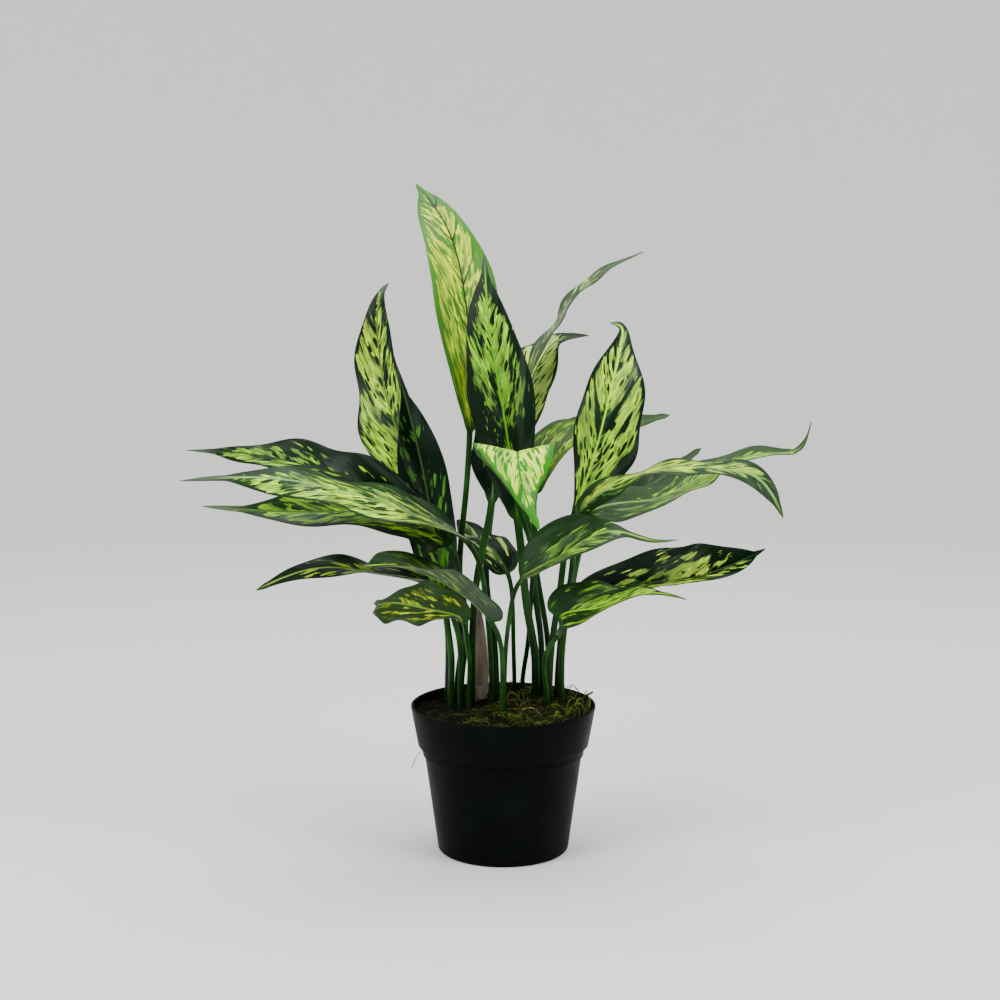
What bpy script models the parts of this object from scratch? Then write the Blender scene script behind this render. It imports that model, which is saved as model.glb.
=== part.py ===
"""Potted Chinese evergreen: 23 long-stalked variegated leaves in a round plastic nursery pot.

Metres, +Z up. The origin is the centre of the pot's underside, on the floor. -Y faces the viewer, +X is
to the viewer's right. Every size below is in millimetres and is turned to metres as a mesh is made.
Each leaf is one grown piece, a blade on its own stalk, and the stalks stand in plain holes in the soil.
"""

from dataclasses import dataclass

import bpy
import numpy as np

MM = 0.001

# Pot: a turned plastic shell with a deep band at the rim and a narrow ring below the band
RIM_RADIUS = 80.0
POT_HEIGHT = 128.0
BASE_RADIUS = 57.0
WALL = 2.0
FLOOR_THICKNESS = 2.5
BAND_FOOT = 93.0
BAND_FOOT_RADIUS = 74.0
RING_FOOT = 84.0
RING_RADIUS = 70.0
BODY_TOP_RADIUS = 68.2
BAND_EDGE = 1.0
BASE_EDGE = 2.5
CORNER_DROP = 3.0
CORNER_IN = 1.8
POT_SIDES = 40
DRAIN_COUNT = 6
DRAIN_RADIUS = 4.5
DRAIN_CIRCLE = 38.0

# Filling: potting mix up to SOIL_TOP, with a mat of moss lying on it
GAP = 0.3
WALL_PLAY = 0.5
SOIL_TOP = 110.0
MOSS_MIDDLE = 122.0
MOSS_RISE_TO_FRONT = 4.0
MOSS_CROWN = 3.0
HOLLOW_PLACE = (-36.0, 18.0)
HOLLOW_DEPTH = 5.0
HOLLOW_SPREAD = 14.0
LUMP_RISE = 1.2
LUMP_SPAN = 7.0
MOSS_RINGS = 7

# Stalks: how deep they stand, and where they leave the moss
FOOT = 92.0
MOSS_EXIT = 134.0
HOLE_PLAY = 0.5
HOLE_OVERRUN = 20.0
STALK_RADIUS = 2.8
HOLE_SIDES = 8

# Blades. NECK is the part of the blade over which the round stalk spreads to the flat blade, and the rib
# under the midrib runs from RIB_AT_NECK to RIB_AT_TIP times the stalk's radius
BLADE_THICKNESS = 0.8
BLADE_ROWS = 16
STALK_ROWS = 7
NECK = 0.07
RIB_AT_NECK = 0.9
RIB_AT_TIP = 0.15
RIB_DEPTH = 0.6
HALF_WIDTH_AT_ENDS = 0.3
TAIL_HALF_WIDTH = 3.0
SCALLOP_LEAD = 1.2
RING_SHARES = (-1.0, -0.5, 0.0, 0.5, 1.0)
RING_ANGLES = (162, 126, 90, 54, 18)


@dataclass
class Leaf:
    """One leaf. Points are (x, y, z) in mm, and angles are in degrees.

    foot is where the stalk stands, stalk the points it passes, and blade the midrib from base to tip.
    face lists where the upper side looks, as (azimuth, elevation), evenly from base to tip: azimuth -90
    is the viewer. width is the blade's greatest width, reached at the part `widest` of its length. A
    smaller blunt rounds the base and a larger taper draws in the end. tail is the share of the length
    that is only a thin drip tip. skew widens one half and narrows the other. fold is how far each half
    rises from the midrib, at the base and at the tip. wave is the rise of the edges' ripple, its number
    of waves, and the lead of one edge over the other. scallop is how far the edges bulge with the waves,
    as a share of the half width.
    """

    foot: tuple
    stalk: tuple
    blade: tuple
    face: tuple
    width: float
    widest: float
    blunt: float
    taper: float
    tail: float
    fold: tuple
    wave: tuple
    scallop: float = 0.0
    skew: float = 0.0
    stalk_radius: float = STALK_RADIUS
    tone: str = "green"


LEAVES = {
    "leaf_crown_tall": Leaf(
        foot=(-41, 42),
        stalk=((-36, 36, 176), (-38, 28, 238), (-33, 26, 302)),
        blade=((-29, 28, 361), (-30, 29, 449), (-46, 55, 530), (-78, 106, 576)),
        face=((-45, 10), (-50, 20), (-110, 55)),
        width=72, widest=0.33, blunt=0.88, taper=0.8, tail=0.05, skew=-0.12,
        fold=(25, -5), wave=(2.0, 2.2, 0), scallop=0.07,
        stalk_radius=2.6, tone="cream",
    ),
    "leaf_crown_front": Leaf(
        foot=(28, 16),
        stalk=((27, 4, 174), (21, -4, 209), (16, -12, 256)),
        blade=((12, -22, 293), (0, -26, 383), (-12, -30, 456), (-16, -8, 514)),
        face=((-85, 0), (-80, 40), (-65, 45)),
        width=62, widest=0.52, blunt=0.74, taper=1.2, tail=0.06, skew=-0.12,
        fold=(35, 15), wave=(2.0, 2.3, 40), scallop=0.03,
        stalk_radius=3.5, tone="dark",
    ),
    "leaf_crown_low": Leaf(
        foot=(-28, 28),
        stalk=((-27, 20, 180), (-24, 9, 226), (-17, 4, 267)),
        blade=((-10, 4, 303), (-10, 4, 348), (-14, -4, 400), (-10, 12, 449)),
        face=((-95, 10), (-50, 30), (-95, 15)),
        width=52, widest=0.49, blunt=0.89, taper=1.1, tail=0.04,
        fold=(20, 15), wave=(1.0, 1.7, 110), scallop=0.07,
        stalk_radius=3.1, tone="dark",
    ),
    "leaf_front_drooping": Leaf(
        foot=(17, 44),
        stalk=((21, 30, 169), (24, 10, 217), (23, -22, 271)),
        blade=((11, -49, 313), (9, -62, 340), (11, -83, 356), (13, -113, 340), (28, -129, 300)),
        face=((60, 35), (85, 75), (-95, 80), (-45, 50), (-90, 35)),
        width=68, widest=0.40, blunt=0.91, taper=1.5, tail=0.05, skew=0.07,
        fold=(25, 0), wave=(1.5, 1.9, 10),
        stalk_radius=2.1, tone="cream",
    ),
    "leaf_right_rear": Leaf(
        foot=(33, 26),
        stalk=((33, 20, 180), (27, 14, 230), (27, 10, 278)),
        blade=((27, 12, 310), (47, 28, 340), (86, 56, 358), (149, 85, 371)),
        face=((-105, 35), (-155, 55), (-85, 40)),
        width=65, widest=0.36, blunt=0.62, taper=1.5, tail=0.04, skew=-0.01,
        fold=(45, 10), wave=(2.0, 2.2, -10), scallop=0.08,
        stalk_radius=2.7, tone="olive",
    ),
    "leaf_right_upright": Leaf(
        foot=(40, 2),
        stalk=((43, 0, 189), (48, -4, 224), (53, -6, 264)),
        blade=((61, -4, 296), (77, -8, 346), (88, -14, 392), (99, -4, 439), (99, 0, 453), (90, 4, 456)),
        face=((-60, -10), (-90, 10), (-90, 25)),
        width=61, widest=0.49, blunt=0.71, taper=1.2, tail=0.05, skew=0.15,
        fold=(35, 15), wave=(2.0, 2.9, 30), scallop=0.05,
    ),
    "leaf_centre_right": Leaf(
        foot=(1, -20),
        stalk=((2, -28, 181), (6, -34, 217)),
        blade=((15, -45, 245), (40, -58, 263), (64, -80, 283), (91, -92, 293), (117, -98, 287),
               (138, -110, 289)),
        face=((-115, 55), (-125, 65), (-95, 40)),
        width=75, widest=0.40, blunt=0.57, taper=1.6, tail=0.23, skew=0.02,
        fold=(30, -15), wave=(1.5, 1.2, 90), scallop=0.14,
        stalk_radius=2.0,
    ),
    "leaf_right_low": Leaf(
        foot=(50, 6),
        stalk=((51, 0, 175), (53, -4, 198), (56, -12, 217)),
        blade=((62, -30, 229), (110, -44, 241), (163, -70, 253), (209, -100, 280)),
        face=((-95, 20), (-90, 45), (-55, 25)),
        width=55, widest=0.57, blunt=0.67, taper=0.6, tail=0.05, skew=-0.02,
        fold=(45, 45), wave=(1.5, 3.1, 20), scallop=0.02,
        stalk_radius=2.6, tone="dark",
    ),
    "leaf_right_lowest": Leaf(
        foot=(38, -14),
        stalk=((35, -24, 172), (40, -32, 187), (48, -40, 200)),
        blade=((48, -54, 215), (79, -78, 228), (114, -96, 243), (145, -115, 242)),
        face=((-90, 25), (-90, 75), (-85, 75)),
        width=52, widest=0.22, blunt=0.42, taper=1.1, tail=0.16,
        fold=(25, 5), wave=(1.0, 3.4, -10), scallop=0.05,
        stalk_radius=2.0,
    ),
    "leaf_right_long": Leaf(
        foot=(48, 24),
        stalk=((50, 20, 180), (57, 18, 223), (65, 14, 256)),
        blade=((72, 10, 290), (128, 30, 302), (189, 62, 326), (240, 64, 339), (261, 70, 341),
               (275, 77, 366)),
        face=((-150, -15), (-90, 85), (-10, 45)),
        width=54, widest=0.41, blunt=0.58, taper=0.6, tail=0.13, skew=0.07,
        fold=(10, 10), wave=(2.0, 4.2, -60), scallop=0.04,
        stalk_radius=2.6,
    ),
    "leaf_right_arched": Leaf(
        foot=(47, 15),
        stalk=((50, 12, 181), (56, 0, 226), (59, -20, 262)),
        blade=((64, -36, 300), (90, -50, 324), (130, -58, 339), (177, -72, 341), (204, -82, 335),
               (224, -94, 304)),
        face=((-95, 30), (-95, 85), (-75, 65), (-105, 35)),
        width=34, widest=0.42, blunt=0.48, taper=0.6, tail=0.06, skew=0.01,
        fold=(0, 5), wave=(2.5, 3.2, 60), scallop=0.08,
        stalk_radius=2.6,
    ),
    "leaf_left_upright": Leaf(
        foot=(-49, 34),
        stalk=((-49, 36, 185), (-56, 42, 229)),
        blade=((-67, 50, 290), (-96, 64, 366), (-111, 84, 434), (-108, 98, 480), (-103, 108, 488)),
        face=((-90, 10), (-125, 10), (-110, 20)),
        width=60, widest=0.29, blunt=0.60, taper=0.9, tail=0.05, skew=-0.06,
        fold=(15, 15), wave=(2.5, 3.4, 80), scallop=0.07,
    ),
    "leaf_left_dark": Leaf(
        foot=(-46, 22),
        stalk=((-45, 18, 162), (-48, 15, 190)),
        blade=((-51, 15, 216), (-61, 32, 279), (-76, 36, 354), (-89, 44, 402)),
        face=((-95, 0), (-100, 10), (-70, 20)),
        width=52, widest=0.44, blunt=0.52, taper=0.9, tail=0.04, skew=-0.01,
        fold=(35, 20), wave=(2.0, 3.1, 70), scallop=0.02,
        tone="dark",
    ),
    "leaf_left_upper": Leaf(
        foot=(-37, 34),
        stalk=((-37, 24, 179), (-38, 12, 217)),
        blade=((-49, -4, 277), (-88, -1, 307), (-149, 13, 328), (-213, 29, 341), (-278, 52, 343)),
        face=((-105, 10), (-105, 55), (-70, 55)),
        width=48, widest=0.51, blunt=0.69, taper=1.0, tail=0.09, skew=-0.03,
        fold=(60, -10), wave=(3.0, 3.5, 20), scallop=0.07,
        tone="dark",
    ),
    "leaf_left_middle": Leaf(
        foot=(-10, 12),
        stalk=((-12, 2, 184), (-16, -12, 230)),
        blade=((-29, -39, 274), (-70, -59, 301), (-124, -70, 321), (-190, -82, 335), (-260, -86, 333)),
        face=((-125, 75), (-70, 70), (-85, 30)),
        width=65, widest=0.28, blunt=0.61, taper=0.9, tail=0.14, skew=0.04,
        fold=(10, -20), wave=(3.0, 3, 110), scallop=0.08,
        stalk_radius=2.2,
    ),
    "leaf_left_lower": Leaf(
        foot=(-37, 22),
        stalk=((-33, 14, 181), (-35, 0, 228)),
        blade=((-47, -15, 269), (-94, -27, 296), (-159, -40, 301), (-249, -47, 307)),
        face=((-140, 30), (-90, 50), (-90, 30)),
        width=51, widest=0.32, blunt=0.49, taper=0.9, tail=0.14,
        fold=(20, 15), wave=(2.5, 3.2, 20), scallop=0.07,
        stalk_radius=2.6,
    ),
    "leaf_left_lowest": Leaf(
        foot=(-38, 10),
        stalk=((-37, 2, 170), (-41, -8, 199)),
        blade=((-54, -14, 227), (-103, -38, 249), (-155, -54, 256), (-203, -66, 240)),
        face=((-85, 85), (-150, 50), (-95, 50)),
        width=41, widest=0.38, blunt=0.60, taper=1.0, tail=0.05, skew=-0.04,
        fold=(20, 0), wave=(2.0, 2.5, -40), scallop=0.03,
        stalk_radius=2.3, tone="dark",
    ),
    "leaf_front_left": Leaf(
        foot=(-1, -32),
        stalk=((-1, -38, 175), (-4, -44, 197)),
        blade=((-11, -52, 212), (-46, -76, 247), (-83, -100, 266), (-110, -132, 271)),
        face=((-135, 50), (-105, 90), (-115, 35)),
        width=75, widest=0.30, blunt=0.48, taper=1.1, tail=0.04, skew=0.08,
        fold=(20, 15), wave=(1.5, 2.6, -20), scallop=0.01,
        stalk_radius=2.1,
    ),
    "leaf_left_curled": Leaf(
        foot=(-30, 6),
        stalk=((-29, -8, 168), (-31, -18, 188)),
        blade=((-34, -35, 208), (-58, -63, 223), (-88, -88, 234), (-102, -113, 237)),
        face=((-115, -5), (-85, -35), (-115, 5)),
        width=52, widest=0.62, blunt=0.60, taper=1.0, tail=0.00, skew=0.08,
        fold=(-10, 5), wave=(2.0, 3.2, -20), scallop=0.05,
        stalk_radius=2.2, tone="olive",
    ),
    "leaf_centre_small": Leaf(
        foot=(10, 46),
        stalk=((9, 36, 176), (8, 24, 214)),
        blade=((4, 24, 238), (-11, 32, 259), (-24, 43, 267), (-41, 54, 281)),
        face=((-115, 50), (-75, 80), (-80, 40)),
        width=37, widest=0.28, blunt=0.60, taper=0.7, tail=0.03, skew=0.01,
        fold=(15, 0), wave=(1.0, 2.6, 0), scallop=0.08,
        stalk_radius=2.0, tone="dark",
    ),
    "leaf_rear_twisted": Leaf(
        foot=(-6, 28),
        stalk=((-9, 36, 185), (-15, 53, 227), (-12, 58, 276)),
        blade=((7, 45, 375), (42, 66, 444), (78, 98, 491), (128, 135, 516)),
        face=((-165, -15), (-155, -15), (-130, 40)),
        width=42, widest=0.49, blunt=0.60, taper=1.1, tail=0.11, skew=-0.02,
        fold=(15, -5), wave=(2.5, 4, 50), scallop=0.12,
    ),
    "leaf_rear_middle": Leaf(
        foot=(40, 36),
        stalk=((39, 34, 177), (32, 36, 221), (23, 40, 274)),
        blade=((14, 51, 327), (18, 68, 378), (35, 86, 422), (52, 104, 438), (78, 112, 441)),
        face=((-110, 15), (-100, 0), (-155, 0)),
        width=48, widest=0.51, blunt=0.65, taper=1.2, tail=0.10, skew=-0.09,
        fold=(35, 10), wave=(1.5, 3.5, -30), scallop=0.06,
        stalk_radius=2.5, tone="cream",
    ),
    "leaf_rear_right": Leaf(
        foot=(52, 32),
        stalk=((53, 32, 177), (62, 34, 230)),
        blade=((80, 38, 286), (122, 70, 305), (155, 95, 322), (181, 115, 338)),
        face=((-90, 40), (-90, 40), (-90, 40)),
        width=30, widest=0.40, blunt=0.60, taper=1.5, tail=0.05,
        fold=(15, 10), wave=(1.0, 2, 0), scallop=0.04,
        stalk_radius=2.2, tone="dark",
    ),
    # The dry, papery sheath of a leaf that has dropped, standing behind the left group of stalks
    "sheath_dry": Leaf(
        foot=(-22, 37),
        stalk=((-22, 37, 137),),
        blade=((-22, 37, 140), (-22, 36, 166), (-22, 35, 190), (-23, 34, 212)),
        face=((-80, 0), (-80, 5), (-80, 10)),
        width=19, widest=0.12, blunt=0.50, taper=0.8, tail=0.05,
        fold=(30, 20), wave=(0.5, 2, 0),
        stalk_radius=4.6, tone="dry",
    ),
}

# Colour (red, green, blue, each as a linear share) and roughness of each finish
FINISHES = {
    "green": ((0.20, 0.42, 0.10), 0.42),
    "cream": ((0.55, 0.68, 0.28), 0.42),
    "dark": ((0.02, 0.10, 0.06), 0.35),
    "olive": ((0.30, 0.38, 0.06), 0.45),
    "dry": ((0.25, 0.20, 0.14), 0.85),
    "plastic": ((0.010, 0.015, 0.017), 0.38),
    "soil": ((0.020, 0.014, 0.009), 0.95),
    "moss": ((0.20, 0.22, 0.03), 0.95),
}


def clear_scene():
    for item in list(bpy.data.objects):
        bpy.data.objects.remove(item, do_unlink=True)


def new_collection(name, holder=None):
    group = bpy.data.collections.new(name)
    (holder or bpy.context.scene.collection).children.link(group)
    return group


def finish(name):
    """The Principled material of one finish, made once."""
    if name in bpy.data.materials:
        return bpy.data.materials[name]
    colour, roughness = FINISHES[name]
    material = bpy.data.materials.new(name)
    material.use_nodes = True
    shader = material.node_tree.nodes["Principled BSDF"]
    shader.inputs["Base Color"].default_value = (*colour, 1.0)
    shader.inputs["Roughness"].default_value = roughness
    return material


def place_mesh(name, mesh, finish_name, group):
    piece = bpy.data.objects.new(name, mesh)
    if finish_name:
        mesh.materials.append(finish(finish_name))
    group.objects.link(piece)
    return piece


def applied(piece):
    """The piece with its modifiers made part of its mesh, under the same name."""
    bpy.context.view_layer.update()
    graph = bpy.context.evaluated_depsgraph_get()
    mesh = bpy.data.meshes.new_from_object(piece.evaluated_get(graph))
    piece.modifiers.clear()
    piece.data = mesh
    return piece


def turned(name, profile, finish_name, group):
    """A round piece: the (radius, height) profile in mm, turned about Z. It runs down its outer side."""
    points = [(radius * MM, 0.0, height * MM) for radius, height in profile]
    mesh = bpy.data.meshes.new(name)
    mesh.from_pydata(points, [(i, i + 1) for i in range(len(points) - 1)], [])
    piece = place_mesh(name, mesh, finish_name, group)
    screw = piece.modifiers.new("turn", "SCREW")
    screw.steps = screw.render_steps = POT_SIDES
    screw.use_merge_vertices = True
    screw.merge_threshold = 0.0001
    return piece


def arc(centre, radius, start, end, steps=3):
    """Points of a circular arc in the profile plane, with angles in degrees from the outward direction."""
    angles = np.radians(np.linspace(start, end, steps + 1))
    return [(centre[0] + radius * np.cos(a), centre[1] + radius * np.sin(a)) for a in angles]


def inner_radius(height):
    """Radius of the band's inner wall at a height."""
    foot = BAND_FOOT + WALL
    share = (height - foot) / (POT_HEIGHT - foot)
    return (BAND_FOOT_RADIUS - WALL) + share * (RIM_RADIUS - BAND_FOOT_RADIUS)


def inner_wall(play):
    """Profile of the wall's inner side below the band, floor first, moved inwards by some play."""
    return [
        (BASE_RADIUS - WALL - CORNER_IN - play, FLOOR_THICKNESS),
        (BASE_RADIUS - WALL - play, FLOOR_THICKNESS + CORNER_DROP),
        (BODY_TOP_RADIUS - WALL - play, RING_FOOT - 1.0),
        (RING_RADIUS - WALL - play, RING_FOOT + 1.5),
        (RING_RADIUS - WALL - play, BAND_FOOT - 0.5),
    ]


def make_pot(group, cutters):
    lip = WALL / 2
    inside = [(0.0, FLOOR_THICKNESS)] + inner_wall(0.0) + [(BAND_FOOT_RADIUS - WALL, BAND_FOOT + WALL)]
    rounded_lip = arc((RIM_RADIUS - lip, POT_HEIGHT - lip), lip, 180, 0, 4)
    band_edge = arc((BAND_FOOT_RADIUS - BAND_EDGE, BAND_FOOT + BAND_EDGE), BAND_EDGE, 0, -90, 2)
    ring = [(RING_RADIUS, BAND_FOOT - 0.6), (RING_RADIUS - 0.4, RING_FOOT + 0.8)]
    outside = ring + [(BODY_TOP_RADIUS, RING_FOOT)]
    base_edge = arc((BASE_RADIUS - BASE_EDGE, BASE_EDGE), BASE_EDGE, 0, -90, 3)
    profile = inside + rounded_lip + band_edge + outside + base_edge + [(0.0, 0.0)]
    pot = turned("pot", profile, "plastic", group)
    drains = new_collection("drain cutters", cutters)
    for index in range(DRAIN_COUNT):
        angle = 2 * np.pi * index / DRAIN_COUNT
        spot = (DRAIN_CIRCLE * np.cos(angle), DRAIN_CIRCLE * np.sin(angle))
        make_cutter(f"drain {index}", spot, DRAIN_RADIUS, (-5.0, 10.0), drains)
    cut(pot, drains)
    applied(pot)
    pot.data.shade_smooth()
    pot.data.set_sharp_from_angle(angle=np.radians(35))


def make_cutter(name, spot, radius, heights, group):
    """An upright round cutter between two heights. It is left out of the model."""
    low, high = heights
    bpy.ops.mesh.primitive_cylinder_add(
        vertices=HOLE_SIDES, radius=radius * MM, depth=(high - low) * MM,
        location=(spot[0] * MM, spot[1] * MM, (low + high) / 2 * MM),
    )
    cutter = bpy.context.object
    cutter.name = name
    cutter.display_type = "WIRE"
    cutter.hide_render = True
    for holder in list(cutter.users_collection):
        holder.objects.unlink(cutter)
    group.objects.link(cutter)


def cut(piece, group):
    boolean = piece.modifiers.new("holes", "BOOLEAN")
    boolean.operation = "DIFFERENCE"
    boolean.operand_type = "COLLECTION"
    boolean.collection = group
    boolean.solver = "EXACT"


def make_stalk_cutters(cutters):
    """One plain hole for each stalk, right through the moss and down into the soil."""
    holes = new_collection("stalk cutters", cutters)
    for name, leaf in LEAVES.items():
        corner = (leaf.stalk_radius + HOLE_PLAY) / np.cos(np.pi / HOLE_SIDES)
        make_cutter(f"hole {name}", leaf.foot, corner, (FOOT - HOLE_PLAY, POT_HEIGHT + HOLE_OVERRUN), holes)
    return holes


def make_soil(group, holes):
    top = [(0.0, SOIL_TOP), (inner_radius(SOIL_TOP) - WALL_PLAY, SOIL_TOP)]
    shoulder = [(BAND_FOOT_RADIUS - WALL - WALL_PLAY, BAND_FOOT + WALL + WALL_PLAY)]
    side = [(radius, height + GAP) for radius, height in reversed(inner_wall(WALL_PLAY))]
    soil = turned("soil", top + shoulder + side + [(0.0, FLOOR_THICKNESS + GAP)], "soil", group)
    cut(soil, holes)
    applied(soil)


def moss_height(x, y):
    """Top of the moss in mm: it rises to the front, crowns in the middle, has lumps all over and sinks
    into a hollow at the left group of stalks."""
    reach = RIM_RADIUS
    slope = -MOSS_RISE_TO_FRONT * y / reach
    crown = MOSS_CROWN * (1 - (x**2 + y**2) / reach**2)
    away = (x - HOLLOW_PLACE[0]) ** 2 + (y - HOLLOW_PLACE[1]) ** 2
    hollow = HOLLOW_DEPTH * np.exp(-away / (2 * HOLLOW_SPREAD**2))
    lumps = LUMP_RISE * (np.sin(x / LUMP_SPAN + 1.3) * np.cos(y / LUMP_SPAN) + 0.6 * np.sin((x + y) / 4.5))
    return MOSS_MIDDLE + slope + crown - hollow + lumps


def make_moss(group, holes):
    """A turned disc whose top is then raised to moss_height, and whose edge follows the pot's wall."""
    floor = SOIL_TOP + GAP
    edge = inner_radius(floor) - WALL_PLAY
    shares = np.linspace(0, 1, MOSS_RINGS)
    profile = [(edge * share, MOSS_MIDDLE) for share in shares] + [(edge, floor), (0.0, floor)]
    moss = applied(turned("moss", profile, "moss", group))
    mesh = moss.data
    co = np.empty(len(mesh.vertices) * 3)
    mesh.vertices.foreach_get("co", co)
    co = co.reshape(-1, 3) / MM
    top = co[:, 2] > (floor + MOSS_MIDDLE) / 2
    co[top, 2] = moss_height(co[top, 0], co[top, 1])
    radius = np.hypot(co[:, 0], co[:, 1])
    at_wall = top & (radius > edge - 0.5)
    grown = (inner_radius(co[at_wall, 2]) - WALL_PLAY) / radius[at_wall]
    co[at_wall, :2] *= grown[:, None]
    mesh.vertices.foreach_set("co", (co * MM).ravel())
    mesh.update()
    cut(moss, holes)
    applied(moss)


def smooth_line(points, along):
    """Natural cubic spline through points: places and unit directions at distances along its chords."""
    step = np.linalg.norm(np.diff(points, axis=0), axis=1)
    knots = np.concatenate([[0.0], np.cumsum(step)])
    count = len(points)
    matrix = np.eye(count)
    right = np.zeros((count, 3))
    slope = np.diff(points, axis=0) / step[:, None]
    for i in range(1, count - 1):
        matrix[i, i - 1 : i + 2] = step[i - 1], 2 * (step[i - 1] + step[i]), step[i]
        right[i] = 6 * (slope[i] - slope[i - 1])
    bend = np.linalg.solve(matrix, right)
    i = np.clip(np.searchsorted(knots, along, side="right") - 1, 0, count - 2)
    length = step[i][:, None]
    ahead = (knots[i + 1] - along)[:, None]
    behind = (along - knots[i])[:, None]
    start = points[i] / length - bend[i] * length / 6
    end = points[i + 1] / length - bend[i + 1] * length / 6
    place = (bend[i] * ahead**3 + bend[i + 1] * behind**3) / (6 * length) + start * ahead + end * behind
    direction = (bend[i + 1] * behind**2 - bend[i] * ahead**2) / (2 * length) - start + end
    return place, direction / np.linalg.norm(direction, axis=1, keepdims=True)


def stations(leaf):
    """Rows of the leaf from foot to tip: places, directions and the share of the blade passed."""
    x, y = leaf.foot
    root = ((x, y, FOOT), (x, y, (FOOT + MOSS_EXIT) / 2), (x, y, MOSS_EXIT))
    points = np.array(root + leaf.stalk + leaf.blade, float)
    knots = np.concatenate([[0.0], np.cumsum(np.linalg.norm(np.diff(points, axis=0), axis=1))])
    base = knots[len(root) + len(leaf.stalk)]
    share = np.concatenate([[0.0, 0.03], np.linspace(NECK, 0.93, BLADE_ROWS - 4), [0.97, 1.0]])
    below = np.linspace(0.0, base, STALK_ROWS + 1)[:-1]
    along = np.concatenate([below, base + (knots[-1] - base) * share])
    passed = np.concatenate([np.zeros(STALK_ROWS), share])
    place, direction = smooth_line(points, along)
    return place, direction, passed


def upper_side(leaf, direction, passed):
    """Where the upper side looks at each row, square to the midrib. Down the stalk it turns no further."""
    azimuth, elevation = np.radians(np.array(leaf.face, float)).T
    look = np.stack([np.cos(elevation) * np.cos(azimuth), np.cos(elevation) * np.sin(azimuth),
                     np.sin(elevation)], axis=1)
    marks = np.linspace(0, 1, len(look))
    side = np.stack([np.interp(passed, marks, look[:, axis]) for axis in range(3)], axis=1)
    for row in reversed(range(len(side))):
        if row < STALK_ROWS:
            side[row] = side[row + 1]
        side[row] -= side[row] @ direction[row] * direction[row]
        side[row] /= np.linalg.norm(side[row])
    return side


def smooth_step(share):
    share = np.clip(share, 0, 1)
    return share**2 * (3 - 2 * share)


def half_width(leaf, passed):
    """Half the blade's width. It swells to width / 2 as (1 - before^2)^blunt and draws in from there as
    (1 - after^2)^taper, where before and after are how far the widest place is still ahead or already
    behind. The drip tip's own half width is added as the root of the sum of squares."""
    place = np.clip(passed / (1 - leaf.tail), 0, 1)
    before = np.clip(1 - place / leaf.widest, 0, 1)
    after = np.clip((place - leaf.widest) / (1 - leaf.widest), 0, 1)
    body = leaf.width / 2 * (1 - before**2) ** leaf.blunt * (1 - after**2) ** leaf.taper
    thinning = np.clip((1 - passed) / max(leaf.tail, 0.02), 0, 1) ** 0.7
    half = np.hypot(body, TAIL_HALF_WIDTH * smooth_step(passed / 0.3) * thinning)
    half[STALK_ROWS:] = np.maximum(half[STALK_ROWS:], HALF_WIDTH_AT_ENDS)
    return half


def blade_sheet(leaf, passed, half, share):
    """The blade's middle surface where it has spread `share` of its half width from the midrib (left is
    negative): how far out it lies, how far up, and its tilt. Both halves fold up, and the edges ripple
    up and down and bulge in and out."""
    side = np.sign(share)
    fold = np.radians(np.interp(passed, (0, 1), leaf.fold))
    rise, waves, lead = leaf.wave
    turn = 2 * np.pi * waves * passed + np.radians(lead) * side
    bulge = leaf.scallop * np.sin(turn + SCALLOP_LEAD) * share**2
    own = half * (1 + leaf.skew * side) * (1 + bulge)
    across = own * share * np.cos(fold)
    lift = own * abs(share) * np.sin(fold) + rise * np.sin(turn) * share**2 * half / half.max()
    return across, lift, fold * side


def leaf_rings(leaf):
    """Ten points round the leaf at every row: five across its upper face, then five back below.

    On the stalk they lie on a circle. Past the neck they spread to the blade, whose underside lies
    BLADE_THICKNESS below its upper side, and further at the rib.
    """
    place, direction, passed = stations(leaf)
    up = upper_side(leaf, direction, passed)
    out = np.cross(direction, up)
    half = half_width(leaf, passed)
    bladed = smooth_step(passed / NECK)
    tapering = RIB_AT_TIP + (RIB_AT_NECK - RIB_AT_TIP) * (1 - passed) ** 0.7
    rib = leaf.stalk_radius * np.where(passed > 0, tapering, 1.0)
    corners = list(zip(RING_SHARES, np.radians(RING_ANGLES)))
    rings = []
    for away, share, angle in [(1, *c) for c in corners] + [(-1, *c) for c in reversed(corners)]:
        across, lift, tilt = blade_sheet(leaf, passed, half, share)
        keel = RIB_DEPTH * rib if away < 0 and share == 0 else 0.0
        skin = bladed * np.maximum(keel, BLADE_THICKNESS / 2) + (1 - bladed) * rib * np.sin(angle)
        across = across + (1 - bladed) * rib * np.cos(angle)
        leaning = up * np.cos(tilt)[:, None] - out * np.sin(tilt)[:, None]
        normal = leaning * bladed[:, None] + up * (1 - bladed)[:, None]
        rings.append(place + out * across[:, None] + up * lift[:, None] + away * normal * skin[:, None])
    return np.stack(rings, axis=1)


def skin_faces(rows, around):
    """Triangles between neighbouring rings, split alike on the upper and the lower side, and two caps."""
    row, point = np.meshgrid(np.arange(rows - 1), np.arange(around), indexing="ij")
    a = row * around + point
    b = row * around + (point + 1) % around
    c, d = b + around, a + around
    lower = (point >= around // 2) & (point < around - 1)
    first = np.where(lower[..., None], np.stack([a, b, d], -1), np.stack([a, b, c], -1))
    second = np.where(lower[..., None], np.stack([b, c, d], -1), np.stack([a, c, d], -1))
    fan = np.arange(1, around - 1)
    zero = np.zeros_like(fan)
    foot_cap = np.stack([zero, fan + 1, fan], -1)
    tip_cap = np.stack([zero, fan, fan + 1], -1) + (rows - 1) * around
    return np.concatenate([first.reshape(-1, 3), second.reshape(-1, 3), foot_cap, tip_cap])


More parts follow.
